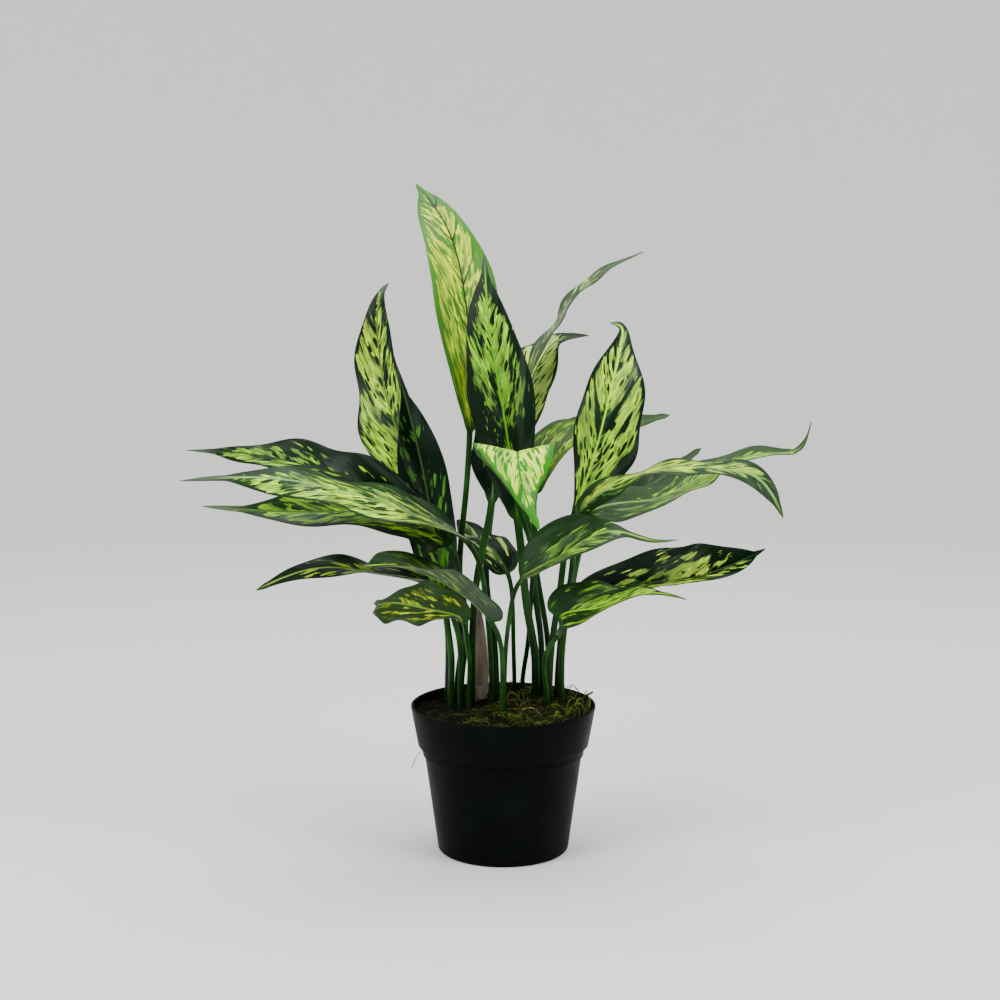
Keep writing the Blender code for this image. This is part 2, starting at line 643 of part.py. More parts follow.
def make_leaf(name, leaf, group):
    rings = leaf_rings(leaf) * MM
    rows, around = rings.shape[:2]
    faces = skin_faces(rows, around)
    mesh = bpy.data.meshes.new(name)
    mesh.from_pydata(rings.reshape(-1, 3).tolist(), [], faces.tolist())
    mesh.update()
    piece = place_mesh(name, mesh, leaf.tone, group)
    piece.data.shade_smooth()
    piece.data.set_sharp_from_angle(angle=np.radians(60))


def main():
    clear_scene()
    plant = new_collection("potted Chinese evergreen")
    cutters = new_collection("cutters")
    make_pot(plant, cutters)
    holes = make_stalk_cutters(cutters)
    make_soil(plant, holes)
    make_moss(plant, holes)
    for name, leaf in LEAVES.items():
        make_leaf(name, leaf, plant)


main()
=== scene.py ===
"""Potted Chinese evergreen: the looks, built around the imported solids.

Sizes are in millimetres and angles in degrees, and a mesh is turned to metres as it is made. -Y faces the
viewer, +X is to the viewer's right and Z is up. A leaf is the sheet of the CAD leaf worked out again on a
fine grid, with its midrib, side veins and thin edge, and its markings come from its own grid: how far
along the blade a point lies, how far from the midrib, and which side vein runs through it.
"""

from dataclasses import dataclass

import bpy
import numpy as np
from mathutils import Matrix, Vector
from mathutils.geometry import tessellate_polygon


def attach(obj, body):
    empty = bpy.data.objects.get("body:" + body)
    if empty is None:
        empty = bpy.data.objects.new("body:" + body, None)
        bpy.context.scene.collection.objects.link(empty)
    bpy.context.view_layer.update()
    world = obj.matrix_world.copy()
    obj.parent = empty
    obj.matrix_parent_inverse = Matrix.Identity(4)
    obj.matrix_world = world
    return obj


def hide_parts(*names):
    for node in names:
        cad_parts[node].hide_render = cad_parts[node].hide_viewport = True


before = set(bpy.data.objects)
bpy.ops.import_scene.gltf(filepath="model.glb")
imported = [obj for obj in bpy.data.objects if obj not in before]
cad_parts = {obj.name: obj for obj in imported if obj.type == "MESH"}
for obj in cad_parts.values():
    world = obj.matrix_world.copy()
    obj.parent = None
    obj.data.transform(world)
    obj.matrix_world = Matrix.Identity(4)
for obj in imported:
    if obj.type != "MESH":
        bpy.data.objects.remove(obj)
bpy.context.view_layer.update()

MM = 0.001

# Pot
RIM_RADIUS = 80.0
POT_HEIGHT = 128.0
BASE_RADIUS = 57.0
WALL = 2.0
FLOOR_THICKNESS = 2.5
BAND_FOOT = 93.0
BAND_FOOT_RADIUS = 74.0
RING_FOOT = 84.0
RING_RADIUS = 70.0
BODY_TOP_RADIUS = 68.2
POT_SIDES = 180
DRAIN_COUNT = 6
DRAIN_RADIUS = 4.5
DRAIN_CIRCLE = 38.0
DRAIN_SIDES = 32

# Filling
SOIL_TOP = 110.0
MOSS_MIDDLE = 122.0
MOSS_RISE_TO_FRONT = 4.0
MOSS_CROWN = 3.0
HOLLOW_PLACE = (-36.0, 18.0)
HOLLOW_DEPTH = 5.0
HOLLOW_SPREAD = 14.0
LUMP_RISE = 1.2
LUMP_SPAN = 7.0
MAT_RINGS = 60
MAT_SIDES = 200
STRAND_COUNT = 2600
STRAND_STEPS = 13
STRAND_SEED = 11
STRAND_SINK = 0.6
WALL_GAP = 0.6

# Stalks and blades
FOOT = 92.0
MOSS_EXIT = 134.0
BLADE_THICKNESS = 0.8
EDGE_THICKNESS = 0.35
NECK = 0.07
TAIL_HALF_WIDTH = 3.0
SCALLOP_LEAD = 1.2
RIB_AT_NECK = 0.9
RIB_AT_TIP = 0.15
RIB_DEPTH = 0.6
STALK_ROWS = 26
NECK_ROWS = 12
BLADE_ROWS = 112
SHARES = 27

# Side veins: mm along the midrib for each mm away from it, the distance between two furrows, and between
# two of the main ones that are drawn in colour, which thin by VEIN_THINNING mm for each mm from the midrib
VEIN_SLOPE = 1.7
VEIN_CURVE = 0.35
VEIN_SPACING = 13.0
DRAWN_VEINS = 42.0
VEIN_THINNING = 0.08
VEIN_RELIEF = 0.16
MIDRIB_GROOVE = 0.4

# Weights of the noises in the field that decides between pale and dark
BLOTCH_WEIGHT = 1.7
STREAK_WEIGHT = 0.5
SPOT_WEIGHT = 0.8
ISLAND_WEIGHT = 0.85
MARGIN_WEIGHT = 0.9

# How far each leaf's noises are moved from those of the leaf before
SEED_STEP = 13.7

# Noises in the leaf material: mm along the midrib, mm away from it, and detail. The side veins lean, so a
# mark comes out about half as wide as the first says, and along its vein twice as long as the second.
NOISES = ((15.0, 9.0, 2.5), (2.6, 11.0, 2.0), (40.0, 24.0, 1.0), (5.0, 4.0, 2.0), (7.0, 6.0, 3.0))

# Studio and camera, in metres
COVE_RADIUS = 3.2
COVE_BEND = 1.2
COVE_HEIGHT = 3.0
COVE_SIDES = 96
CAMERA_PLACE = (-0.0028, -1.5, 0.510)
CAMERA_TILT = 82.25
LENS = 63.9

STALK = "#14390c"
STALK_STREAK = "#205816"
# Painted shade: the stalks darken towards their foot in the moss, where the leaves shade them.
STALK_FOOT_PAINTED_SHADE = "#062106"

TINTS = {
    "cream": "#ffff78",
    "straw": "#e6fa10",
    "hay": "#c3e410",
    "mint": "#dcff2a",
    "lime": "#b4f81c",
    "spring": "#95d006",
    "apple": "#70bc20",
    "grass": "#5eac0a",
    "vivid": "#2d7d0f",
    "fern": "#3d7a1b",
    "olive": "#567c25",
    "leaf": "#476e2f",
    "moss": "#395729",
    "pine": "#2b4221",
    "forest": "#173113",
    "ink": "#03190a",
    "slate": "#3f4e40",
    "ash": "#4f5f42",
    "sage": "#79a458",
    "white": "#e0ff75",
    "khaki": "#799a3a",
}


@dataclass
class Leaf:
    """One leaf, with the values of its CAD solid. face lists where the upper side looks, as (azimuth,
    elevation), evenly from base to tip. wave is the edges' rise, number of waves and lead. A smaller
    blunt rounds the base, a larger taper draws in the end, and tail is the share that is a drip tip."""

    foot: tuple
    stalk: tuple
    blade: tuple
    face: tuple
    width: float
    widest: float
    blunt: float
    taper: float
    fold: tuple
    wave: tuple
    tail: float = 0.05
    scallop: float = 0.0
    skew: float = 0.0
    stalk_radius: float = 2.8
    tone: str = "green"


@dataclass
class Look:
    """How one leaf is marked, with its colours by name from TINTS.

    pale is the ground at the base and at the tip, halo the green round dark marks, and dark the blotches
    and margins. shade is how far dark takes over, evenly from base to tip. margin is the width in mm of
    the dark edge on the (negative, positive) side. mottle is how much of the ground turns to the halo's
    green in soft fine clouds. spots, islands and streaks are how many dark spots, pale islands in the
    dark and fine green streaks there are. A patch is (along, across, mm across the veins, breadth,
    amount), and a negative amount makes it pale. along, across and breadth are shares.
    """

    pale: tuple
    halo: str
    rib: str
    shade: tuple
    dark: str = "ink"
    margin: tuple = (3.0, 3.0)
    patches: tuple = ()
    mottle: float = 0.8
    spots: float = 0.6
    islands: float = 0.3
    streaks: float = 0.6
    veins: float = 0.0
    tip: float = 0.93
    tip_tint: str = "slate"
    under: str = "ash"


LEAVES = {
    "leaf_crown_tall": Leaf(
        foot=(-41, 42), stalk=((-36, 36, 176), (-38, 28, 238), (-33, 26, 302)),
        blade=((-29, 28, 361), (-30, 29, 449), (-46, 55, 530), (-78, 106, 576)),
        face=((-45, 10), (-50, 20), (-110, 55)), width=72, widest=0.33, blunt=0.88, taper=0.8, skew=-0.12,
        fold=(25, -5), wave=(2.0, 2.2, 0), scallop=0.07, stalk_radius=2.6, tone="cream",
    ),
    "leaf_crown_front": Leaf(
        foot=(28, 16), stalk=((27, 4, 174), (21, -4, 209), (16, -12, 256)),
        blade=((12, -22, 293), (0, -26, 383), (-12, -30, 456), (-16, -8, 514)),
        face=((-85, 0), (-80, 40), (-65, 45)), width=62, widest=0.52, blunt=0.74, taper=1.2, tail=0.06,
        skew=-0.12, fold=(35, 15), wave=(2.0, 2.3, 40), scallop=0.03, stalk_radius=3.5, tone="dark",
    ),
    "leaf_crown_low": Leaf(
        foot=(-28, 28), stalk=((-27, 20, 180), (-24, 9, 226), (-17, 4, 267)),
        blade=((-10, 4, 303), (-10, 4, 348), (-14, -4, 400), (-10, 12, 449)),
        face=((-95, 10), (-50, 30), (-95, 15)), width=52, widest=0.49, blunt=0.89, taper=1.1, tail=0.04,
        fold=(20, 15), wave=(1.0, 1.7, 110), scallop=0.07, stalk_radius=3.1, tone="dark",
    ),
    "leaf_front_drooping": Leaf(
        foot=(17, 44), stalk=((21, 30, 169), (24, 10, 217), (23, -22, 271)),
        blade=((11, -49, 313), (9, -62, 340), (11, -83, 356), (13, -113, 340), (28, -129, 300)),
        face=((60, 35), (85, 75), (-95, 80), (-45, 50), (-90, 35)), width=68, widest=0.40, blunt=0.91,
        taper=1.5, skew=0.07, fold=(25, 0), wave=(1.5, 1.9, 10), stalk_radius=2.1, tone="cream",
    ),
    "leaf_right_rear": Leaf(
        foot=(33, 26), stalk=((33, 20, 180), (27, 14, 230), (27, 10, 278)),
        blade=((27, 12, 310), (47, 28, 340), (86, 56, 358), (149, 85, 371)),
        face=((-105, 35), (-155, 55), (-85, 40)), width=65, widest=0.36, blunt=0.62, taper=1.5, tail=0.04,
        skew=-0.01, fold=(45, 10), wave=(2.0, 2.2, -10), scallop=0.08, stalk_radius=2.7, tone="olive",
    ),
    "leaf_right_upright": Leaf(
        foot=(40, 2), stalk=((43, 0, 189), (48, -4, 224), (53, -6, 264)),
        blade=((61, -4, 296), (77, -8, 346), (88, -14, 392), (99, -4, 439), (99, 0, 453), (90, 4, 456)),
        face=((-60, -10), (-90, 10), (-90, 25)), width=61, widest=0.49, blunt=0.71, taper=1.2, skew=0.15,
        fold=(35, 15), wave=(2.0, 2.9, 30), scallop=0.05,
    ),
    "leaf_centre_right": Leaf(
        foot=(1, -20), stalk=((2, -28, 181), (6, -34, 217)),
        blade=((15, -45, 245), (40, -58, 263), (64, -80, 283), (91, -92, 293), (117, -98, 287),
               (138, -110, 289)),
        face=((-115, 55), (-125, 65), (-95, 40)), width=75, widest=0.40, blunt=0.57, taper=1.6, tail=0.23,
        skew=0.02, fold=(30, -15), wave=(1.5, 1.2, 90), scallop=0.14, stalk_radius=2.0,
    ),
    "leaf_right_low": Leaf(
        foot=(50, 6), stalk=((51, 0, 175), (53, -4, 198), (56, -12, 217)),
        blade=((62, -30, 229), (110, -44, 241), (163, -70, 253), (209, -100, 280)),
        face=((-95, 20), (-90, 45), (-55, 25)), width=55, widest=0.57, blunt=0.67, taper=0.6, skew=-0.02,
        fold=(45, 45), wave=(1.5, 3.1, 20), scallop=0.02, stalk_radius=2.6, tone="dark",
    ),
    "leaf_right_lowest": Leaf(
        foot=(38, -14), stalk=((35, -24, 172), (40, -32, 187), (48, -40, 200)),
        blade=((48, -54, 215), (79, -78, 228), (114, -96, 243), (145, -115, 242)),
        face=((-90, 25), (-90, 75), (-85, 75)), width=52, widest=0.22, blunt=0.42, taper=1.1, tail=0.16,
        fold=(25, 5), wave=(1.0, 3.4, -10), scallop=0.05, stalk_radius=2.0,
    ),
    "leaf_right_long": Leaf(
        foot=(48, 24), stalk=((50, 20, 180), (57, 18, 223), (65, 14, 256)),
        blade=((72, 10, 290), (128, 30, 302), (189, 62, 326), (240, 64, 339), (261, 70, 341),
               (275, 77, 366)),
        face=((-150, -15), (-90, 85), (-10, 45)), width=54, widest=0.41, blunt=0.58, taper=0.6, tail=0.13,
        skew=0.07, fold=(10, 10), wave=(2.0, 4.2, -60), scallop=0.04, stalk_radius=2.6,
    ),
    "leaf_right_arched": Leaf(
        foot=(47, 15), stalk=((50, 12, 181), (56, 0, 226), (59, -20, 262)),
        blade=((64, -36, 300), (90, -50, 324), (130, -58, 339), (177, -72, 341), (204, -82, 335),
               (224, -94, 304)),
        face=((-95, 30), (-95, 85), (-75, 65), (-105, 35)), width=34, widest=0.42, blunt=0.48, taper=0.6,
        tail=0.06, skew=0.01, fold=(0, 5), wave=(2.5, 3.2, 60), scallop=0.08, stalk_radius=2.6,
    ),
    "leaf_left_upright": Leaf(
        foot=(-49, 34), stalk=((-49, 36, 185), (-56, 42, 229)),
        blade=((-67, 50, 290), (-96, 64, 366), (-111, 84, 434), (-108, 98, 480), (-103, 108, 488)),
        face=((-90, 10), (-125, 10), (-110, 20)), width=60, widest=0.29, blunt=0.60, taper=0.9, skew=-0.06,
        fold=(15, 15), wave=(2.5, 3.4, 80), scallop=0.07,
    ),
    "leaf_left_dark": Leaf(
        foot=(-46, 22), stalk=((-45, 18, 162), (-48, 15, 190)),
        blade=((-51, 15, 216), (-61, 32, 279), (-76, 36, 354), (-89, 44, 402)),
        face=((-95, 0), (-100, 10), (-70, 20)), width=52, widest=0.44, blunt=0.52, taper=0.9, tail=0.04,
        skew=-0.01, fold=(35, 20), wave=(2.0, 3.1, 70), scallop=0.02, tone="dark",
    ),
    "leaf_left_upper": Leaf(
        foot=(-37, 34), stalk=((-37, 24, 179), (-38, 12, 217)),
        blade=((-49, -4, 277), (-88, -1, 307), (-149, 13, 328), (-213, 29, 341), (-278, 52, 343)),
        face=((-105, 10), (-105, 55), (-70, 55)), width=48, widest=0.51, blunt=0.69, taper=1.0, tail=0.09,
        skew=-0.03, fold=(60, -10), wave=(3.0, 3.5, 20), scallop=0.07, tone="dark",
    ),
    "leaf_left_middle": Leaf(
        foot=(-10, 12), stalk=((-12, 2, 184), (-16, -12, 230)),
        blade=((-29, -39, 274), (-70, -59, 301), (-124, -70, 321), (-190, -82, 335), (-260, -86, 333)),
        face=((-125, 75), (-70, 70), (-85, 30)), width=65, widest=0.28, blunt=0.61, taper=0.9, tail=0.14,
        skew=0.04, fold=(10, -20), wave=(3.0, 3, 110), scallop=0.08, stalk_radius=2.2,
    ),
    "leaf_left_lower": Leaf(
        foot=(-37, 22), stalk=((-33, 14, 181), (-35, 0, 228)),
        blade=((-47, -15, 269), (-94, -27, 296), (-159, -40, 301), (-249, -47, 307)),
        face=((-140, 30), (-90, 50), (-90, 30)), width=51, widest=0.32, blunt=0.49, taper=0.9, tail=0.14,
        fold=(20, 15), wave=(2.5, 3.2, 20), scallop=0.07, stalk_radius=2.6,
    ),
    "leaf_left_lowest": Leaf(
        foot=(-38, 10), stalk=((-37, 2, 170), (-41, -8, 199)),
        blade=((-54, -14, 227), (-103, -38, 249), (-155, -54, 256), (-203, -66, 240)),
        face=((-85, 85), (-150, 50), (-95, 50)), width=41, widest=0.38, blunt=0.60, taper=1.0, skew=-0.04,
        fold=(20, 0), wave=(2.0, 2.5, -40), scallop=0.03, stalk_radius=2.3, tone="dark",
    ),
    "leaf_front_left": Leaf(
        foot=(-1, -32), stalk=((-1, -38, 175), (-4, -44, 197)),
        blade=((-11, -52, 212), (-46, -76, 247), (-83, -100, 266), (-110, -132, 271)),
        face=((-135, 50), (-105, 90), (-115, 35)), width=75, widest=0.30, blunt=0.48, taper=1.1, tail=0.04,
        skew=0.08, fold=(20, 15), wave=(1.5, 2.6, -20), scallop=0.01, stalk_radius=2.1,
    ),
    "leaf_left_curled": Leaf(
        foot=(-30, 6), stalk=((-29, -8, 168), (-31, -18, 188)),
        blade=((-34, -35, 208), (-58, -63, 223), (-88, -88, 234), (-102, -113, 237)),
        face=((-115, -5), (-85, -35), (-115, 5)), width=52, widest=0.62, blunt=0.60, taper=1.0, tail=0.00,
        skew=0.08, fold=(-10, 5), wave=(2.0, 3.2, -20), scallop=0.05, stalk_radius=2.2, tone="olive",
    ),
    "leaf_centre_small": Leaf(
        foot=(10, 46), stalk=((9, 36, 176), (8, 24, 214)),
        blade=((4, 24, 238), (-11, 32, 259), (-24, 43, 267), (-41, 54, 281)),
        face=((-115, 50), (-75, 80), (-80, 40)), width=37, widest=0.28, blunt=0.60, taper=0.7, tail=0.03,
        skew=0.01, fold=(15, 0), wave=(1.0, 2.6, 0), scallop=0.08, stalk_radius=2.0, tone="dark",
    ),
    "leaf_rear_twisted": Leaf(
        foot=(-6, 28), stalk=((-9, 36, 185), (-15, 53, 227), (-12, 58, 276)),
        blade=((7, 45, 375), (42, 66, 444), (78, 98, 491), (128, 135, 516)),
        face=((-165, -15), (-155, -15), (-130, 40)), width=42, widest=0.49, blunt=0.60, taper=1.1,
        tail=0.11, skew=-0.02, fold=(15, -5), wave=(2.5, 4, 50), scallop=0.12,
    ),
    "leaf_rear_middle": Leaf(
        foot=(40, 36), stalk=((39, 34, 177), (32, 36, 221), (23, 40, 274)),
        blade=((14, 51, 327), (18, 68, 378), (35, 86, 422), (52, 104, 438), (78, 112, 441)),
        face=((-110, 15), (-100, 0), (-155, 0)), width=48, widest=0.51, blunt=0.65, taper=1.2, tail=0.10,
        skew=-0.09, fold=(35, 10), wave=(1.5, 3.5, -30), scallop=0.06, stalk_radius=2.5, tone="cream",
    ),
    "leaf_rear_right": Leaf(
        foot=(52, 32), stalk=((53, 32, 177), (62, 34, 230)),
        blade=((80, 38, 286), (122, 70, 305), (155, 95, 322), (181, 115, 338)),
        face=((-90, 40), (-90, 40), (-90, 40)), width=30, widest=0.40, blunt=0.60, taper=1.5, fold=(15, 10),
        wave=(1.0, 2, 0), scallop=0.04, stalk_radius=2.2, tone="dark",
    ),
    # Its blade starts 19 mm lower than in the CAD, so that its foot widens at the moss.
    "sheath_dry": Leaf(
        foot=(-22, 37), stalk=((-22, 37, 118),),
        blade=((-22, 37, 121), (-22, 36, 166), (-22, 35, 190), (-23, 34, 212)),
        face=((-80, 0), (-80, 5), (-80, 10)), width=19, widest=0.12, blunt=0.50, taper=0.8, fold=(30, 20),
        wave=(0.5, 2, 0), stalk_radius=4.6, tone="dry",
    ),
}

LOOKS = {
    "leaf_crown_tall": Look(
        pale=("hay", "straw"), halo="olive", dark="fern", rib="forest", shade=(0.3, 0.22, 0.15, 0.15, 0.5),
        margin=(4.0, 5.0), mottle=0.75, spots=1.0, islands=0.2, streaks=0.35, veins=1.0, tip=0.96,
        tip_tint="fern",
        patches=((0.62, 0.9, 26, 0.35, 0.6), (0.72, -0.5, 6, 0.25, 0.5), (0.42, -0.92, 10, 0.2, 0.6),
                 (0.3, -0.9, 8, 0.2, 0.5)),
    ),
    "leaf_crown_front": Look(
        pale=("grass", "lime"), halo="olive", rib="grass", shade=(1.4, 1.05, 0.45, 0.3, 0.5),
        margin=(5.0, 5.0), spots=0.8, islands=0.4,
        patches=((0.3, -0.75, 34, 0.6, 0.8), (0.12, 0.6, 26, 0.5, 0.6), (0.8, -0.9, 24, 0.4, 0.6),
                 (0.3, 0.1, 26, 0.2, -0.4), (0.35, -0.35, 2.5, 0.4, -0.6)),
    ),
    "leaf_crown_low": Look(
        pale=("vivid", "apple"), halo="fern", rib="leaf", shade=(0.9, 0.7, 0.6, 0.7), margin=(6.0, 6.0),
        mottle=0.7, islands=0.5,
    ),
    "leaf_front_drooping": Look(
        pale=("cream", "mint"), halo="apple", dark="vivid", rib="vivid", shade=(0.45, 0.4, 0.3, 0.35, 0.8),
        mottle=0.4, spots=1.0, islands=0.3, streaks=0.7, tip=0.97, tip_tint="vivid",
    ),
    "leaf_right_rear": Look(
        pale=("hay", "spring"), halo="olive", dark="moss", rib="khaki", shade=(0.7, 0.5, 0.45, 0.7),
        mottle=1.0, spots=0.7, tip=0.8, tip_tint="pine",
    ),
    "leaf_right_upright": Look(
        pale=("lime", "mint"), halo="leaf", rib="lime", shade=(0.2, 0.2, 0.15, 0.2, 0.4), mottle=0.7,
        spots=0.85, tip=0.97,
        patches=((0.49, -0.22, 9, 0.28, 0.9), (0.46, 0.16, 8, 0.2, 0.8), (0.8, -0.3, 7, 0.25, 0.8),
                 (0.64, 0.55, 4, 0.4, 0.8), (0.5, 0.62, 6, 0.13, 0.9), (0.33, 0.95, 24, 0.3, 0.8),
                 (0.3, -0.9, 16, 0.2, 0.5)),
    ),
    "leaf_centre_right": Look(
        pale=("spring", "lime"), halo="moss", dark="forest", rib="khaki", shade=(0.6, 0.45, 0.35, 0.5),
        margin=(12.0, 3.0), mottle=1.0, streaks=1.0, tip=0.84, tip_tint="moss",
    ),
    "leaf_right_low": Look(
        pale=("white", "mint"), halo="leaf", rib="moss", shade=(1.1, 0.8, 0.65, 0.7, 1.0),
        margin=(9.0, 1.5), mottle=0.6, spots=0.7, islands=0.9, tip=0.95, tip_tint="ink",
        patches=((0.2, 0.5, 26, 0.5, -0.35), (0.55, -0.3, 26, 0.35, -0.35), (0.4, 0.6, 20, 0.4, -0.3)),
    ),
    "leaf_right_lowest": Look(
        pale=("spring", "lime"), halo="moss", dark="forest", rib="spring", shade=(0.9, 0.45, 0.35, 0.7),
        margin=(2.0, 1.5), mottle=0.9, tip=0.88, tip_tint="pine",
    ),
    "leaf_right_long": Look(
        pale=("spring", "lime"), halo="moss", dark="pine", rib="sage", shade=(0.8, 0.45, 0.2, 0.2, 0.5),
        margin=(14.0, 2.0), mottle=0.9, spots=0.5, streaks=1.0, tip=0.88, tip_tint="pine", under="moss",
    ),
    "leaf_right_arched": Look(
        pale=("hay", "mint"), halo="leaf", dark="forest", rib="sage", shade=(0.4, 0.3, 0.25, 0.5, 0.9),
        margin=(3.0, 5.0), spots=0.8, tip=0.95, tip_tint="forest",
    ),
    "leaf_left_upright": Look(
        pale=("lime", "mint"), halo="moss", rib="olive", shade=(0.2, 0.2, 0.2, 0.3, 0.6), margin=(2.0, 4.0),
        mottle=0.75, spots=0.85, veins=0.3, tip=0.92,
        patches=((0.4, -0.1, 5, 0.3, 0.8), (0.62, -0.92, 8, 0.25, 0.8), (0.62, 0.5, 30, 0.4, 0.25)),
    ),
    "leaf_left_dark": Look(
        pale=("apple", "leaf"), halo="fern", rib="moss", shade=(0.7, 0.7, 0.85, 1.1, 1.1),
        margin=(3.0, 8.0), islands=0.75, tip=0.98, tip_tint="forest",
        patches=((0.25, 0.3, 30, 0.4, -0.35), (0.3, -0.3, 30, 0.3, -0.35)),
    ),
    "leaf_left_upper": Look(
        pale=("lime", "spring"), halo="olive", rib="forest", shade=(1.2, 1.0, 0.7, 0.35, 0.5),
        margin=(3.0, 6.0), mottle=1.0, spots=0.8, islands=0.6, veins=0.4, tip=0.92,
    ),
    "leaf_left_middle": Look(
        pale=("mint", "lime"), halo="leaf", dark="forest", rib="sage", shade=(0.6, 0.4, 0.25, 0.3, 0.7),
        margin=(2.0, 9.0), spots=1.0, tip=0.86,
    ),
    "leaf_left_lower": Look(
        pale=("lime", "spring"), halo="moss", dark="forest", rib="leaf", shade=(0.6, 0.35, 0.25, 0.4),
        margin=(4.0, 3.0), spots=0.8, tip=0.86, tip_tint="ash",
    ),
    "leaf_left_lowest": Look(
        pale=("spring", "hay"), halo="moss", rib="khaki", shade=(0.9, 0.7, 0.7, 0.9, 1.1),
        margin=(2.0, 4.0), mottle=0.5, islands=0.85, tip=0.96, tip_tint="ink",
    ),
    "leaf_front_left": Look(
        pale=("spring", "hay"), halo="pine", dark="forest", rib="spring", shade=(0.9, 0.6, 0.55, 0.8),
        margin=(3.0, 7.0), spots=0.4, islands=0.8, streaks=1.0, tip=0.97, under="slate",
    ),
    "leaf_left_curled": Look(
        pale=("straw", "hay"), halo="pine", dark="pine", rib="khaki", shade=(0.8, 0.6, 0.55, 0.85),
        margin=(3.0, 5.0), mottle=1.0, spots=0.4, islands=0.5, streaks=1.0, tip=0.98,
    ),
    "leaf_centre_small": Look(
        pale=("white", "sage"), halo="moss", rib="moss", shade=(0.8, 0.65, 0.55, 0.6), margin=(2.0, 3.0),
        islands=0.7, tip=0.95, tip_tint="forest", mottle=0.5,
    ),
    "leaf_rear_twisted": Look(
        pale=("sage", "white"), halo="ash", dark="pine", rib="leaf", shade=(0.6, 0.5, 0.5, 0.8), mottle=1.0,
        streaks=1.0, tip=0.9,
    ),
    "leaf_rear_middle": Look(
        pale=("white", "white"), halo="leaf", dark="forest", rib="leaf", shade=(0.2, 0.12, 0.1, 0.4),
        margin=(2.0, 3.0), mottle=0.4, spots=0.7, streaks=0.7, tip=0.86,
    ),
    "leaf_rear_right": Look(
        pale=("leaf", "leaf"), halo="pine", dark="forest", rib="moss", shade=(0.7, 0.7, 0.7),
        margin=(2.0, 2.0), spots=0.4, tip=0.8, tip_tint="pine",
    ),
}


def linear(hex_colour):
    """An sRGB hex colour as linear light: (c / 12.92) below 0.04045, and ((c + 0.055) / 1.055)^2.4 above."""
    parts = np.array([int(hex_colour[i:i + 2], 16) for i in (1, 3, 5)]) / 255
    light = np.where(parts <= 0.04045, parts / 12.92, ((parts + 0.055) / 1.055) ** 2.4)
    return (*light.tolist(), 1.0)


def add_node(tree, kind, settings=None, links=None):
    """Add a shader node of a kind. Settings are its properties, or the values of its inputs, and links join
    sockets to inputs."""
    node = tree.nodes.new(f"ShaderNode{kind}")
    for key, value in (settings or {}).items():
        if isinstance(key, str) and hasattr(node, key):
            setattr(node, key, value)
        else:
            node.inputs[key].default_value = value
    for key, socket in (links or {}).items():
        tree.links.new(socket, node.inputs[key])
    return node


def new_material(name, roughness, specular):
    material = bpy.data.materials.new(name)
    material.use_nodes = True
    shader = material.node_tree.nodes["Principled BSDF"]
    shader.inputs["Roughness"].default_value = roughness
    shader.inputs["Specular IOR Level"].default_value = specular
    return material, material.node_tree, shader


def wire(tree, shader, colour, normal=None, roughness=None):
    """Join the patterns to the shader's sockets."""
    for key, socket in (("Base Color", colour), ("Normal", normal), ("Roughness", roughness)):
        if socket is not None:
            tree.links.new(socket, shader.inputs[key])


def scaled(tree, vector, x, y, z=1.0, seed=0.0):
    """The vector with each part divided by a length in mm, moved along x by the seed."""
    node = add_node(tree, "VectorMath",
                    {"operation": "MULTIPLY_ADD", 1: (1 / x, 1 / y, 1 / z), 2: (seed, 0, 0)}, {0: vector})
    return node.outputs[0]


def layered(tree, ground, layers):
    """Lay colours in turn over the ground, which is a hex colour or a socket. A layer is (colour, value,
    from, to, most): it rises smoothly from nothing where the value is at from to its most at to."""
    for colour, value, start, end, most in layers:
        share = add_node(tree, "MapRange", {"interpolation_type": "SMOOTHSTEP",
                         "From Min": start, "From Max": end, "To Max": most}, {"Value": value})
        mix = add_node(tree, "Mix", {"data_type": "RGBA", 7: linear(colour)}, {0: share.outputs[0]})
        if isinstance(ground, str):
            mix.inputs[6].default_value = linear(ground)
        else:
            tree.links.new(ground, mix.inputs[6])
        ground = mix.outputs[2]
    return ground


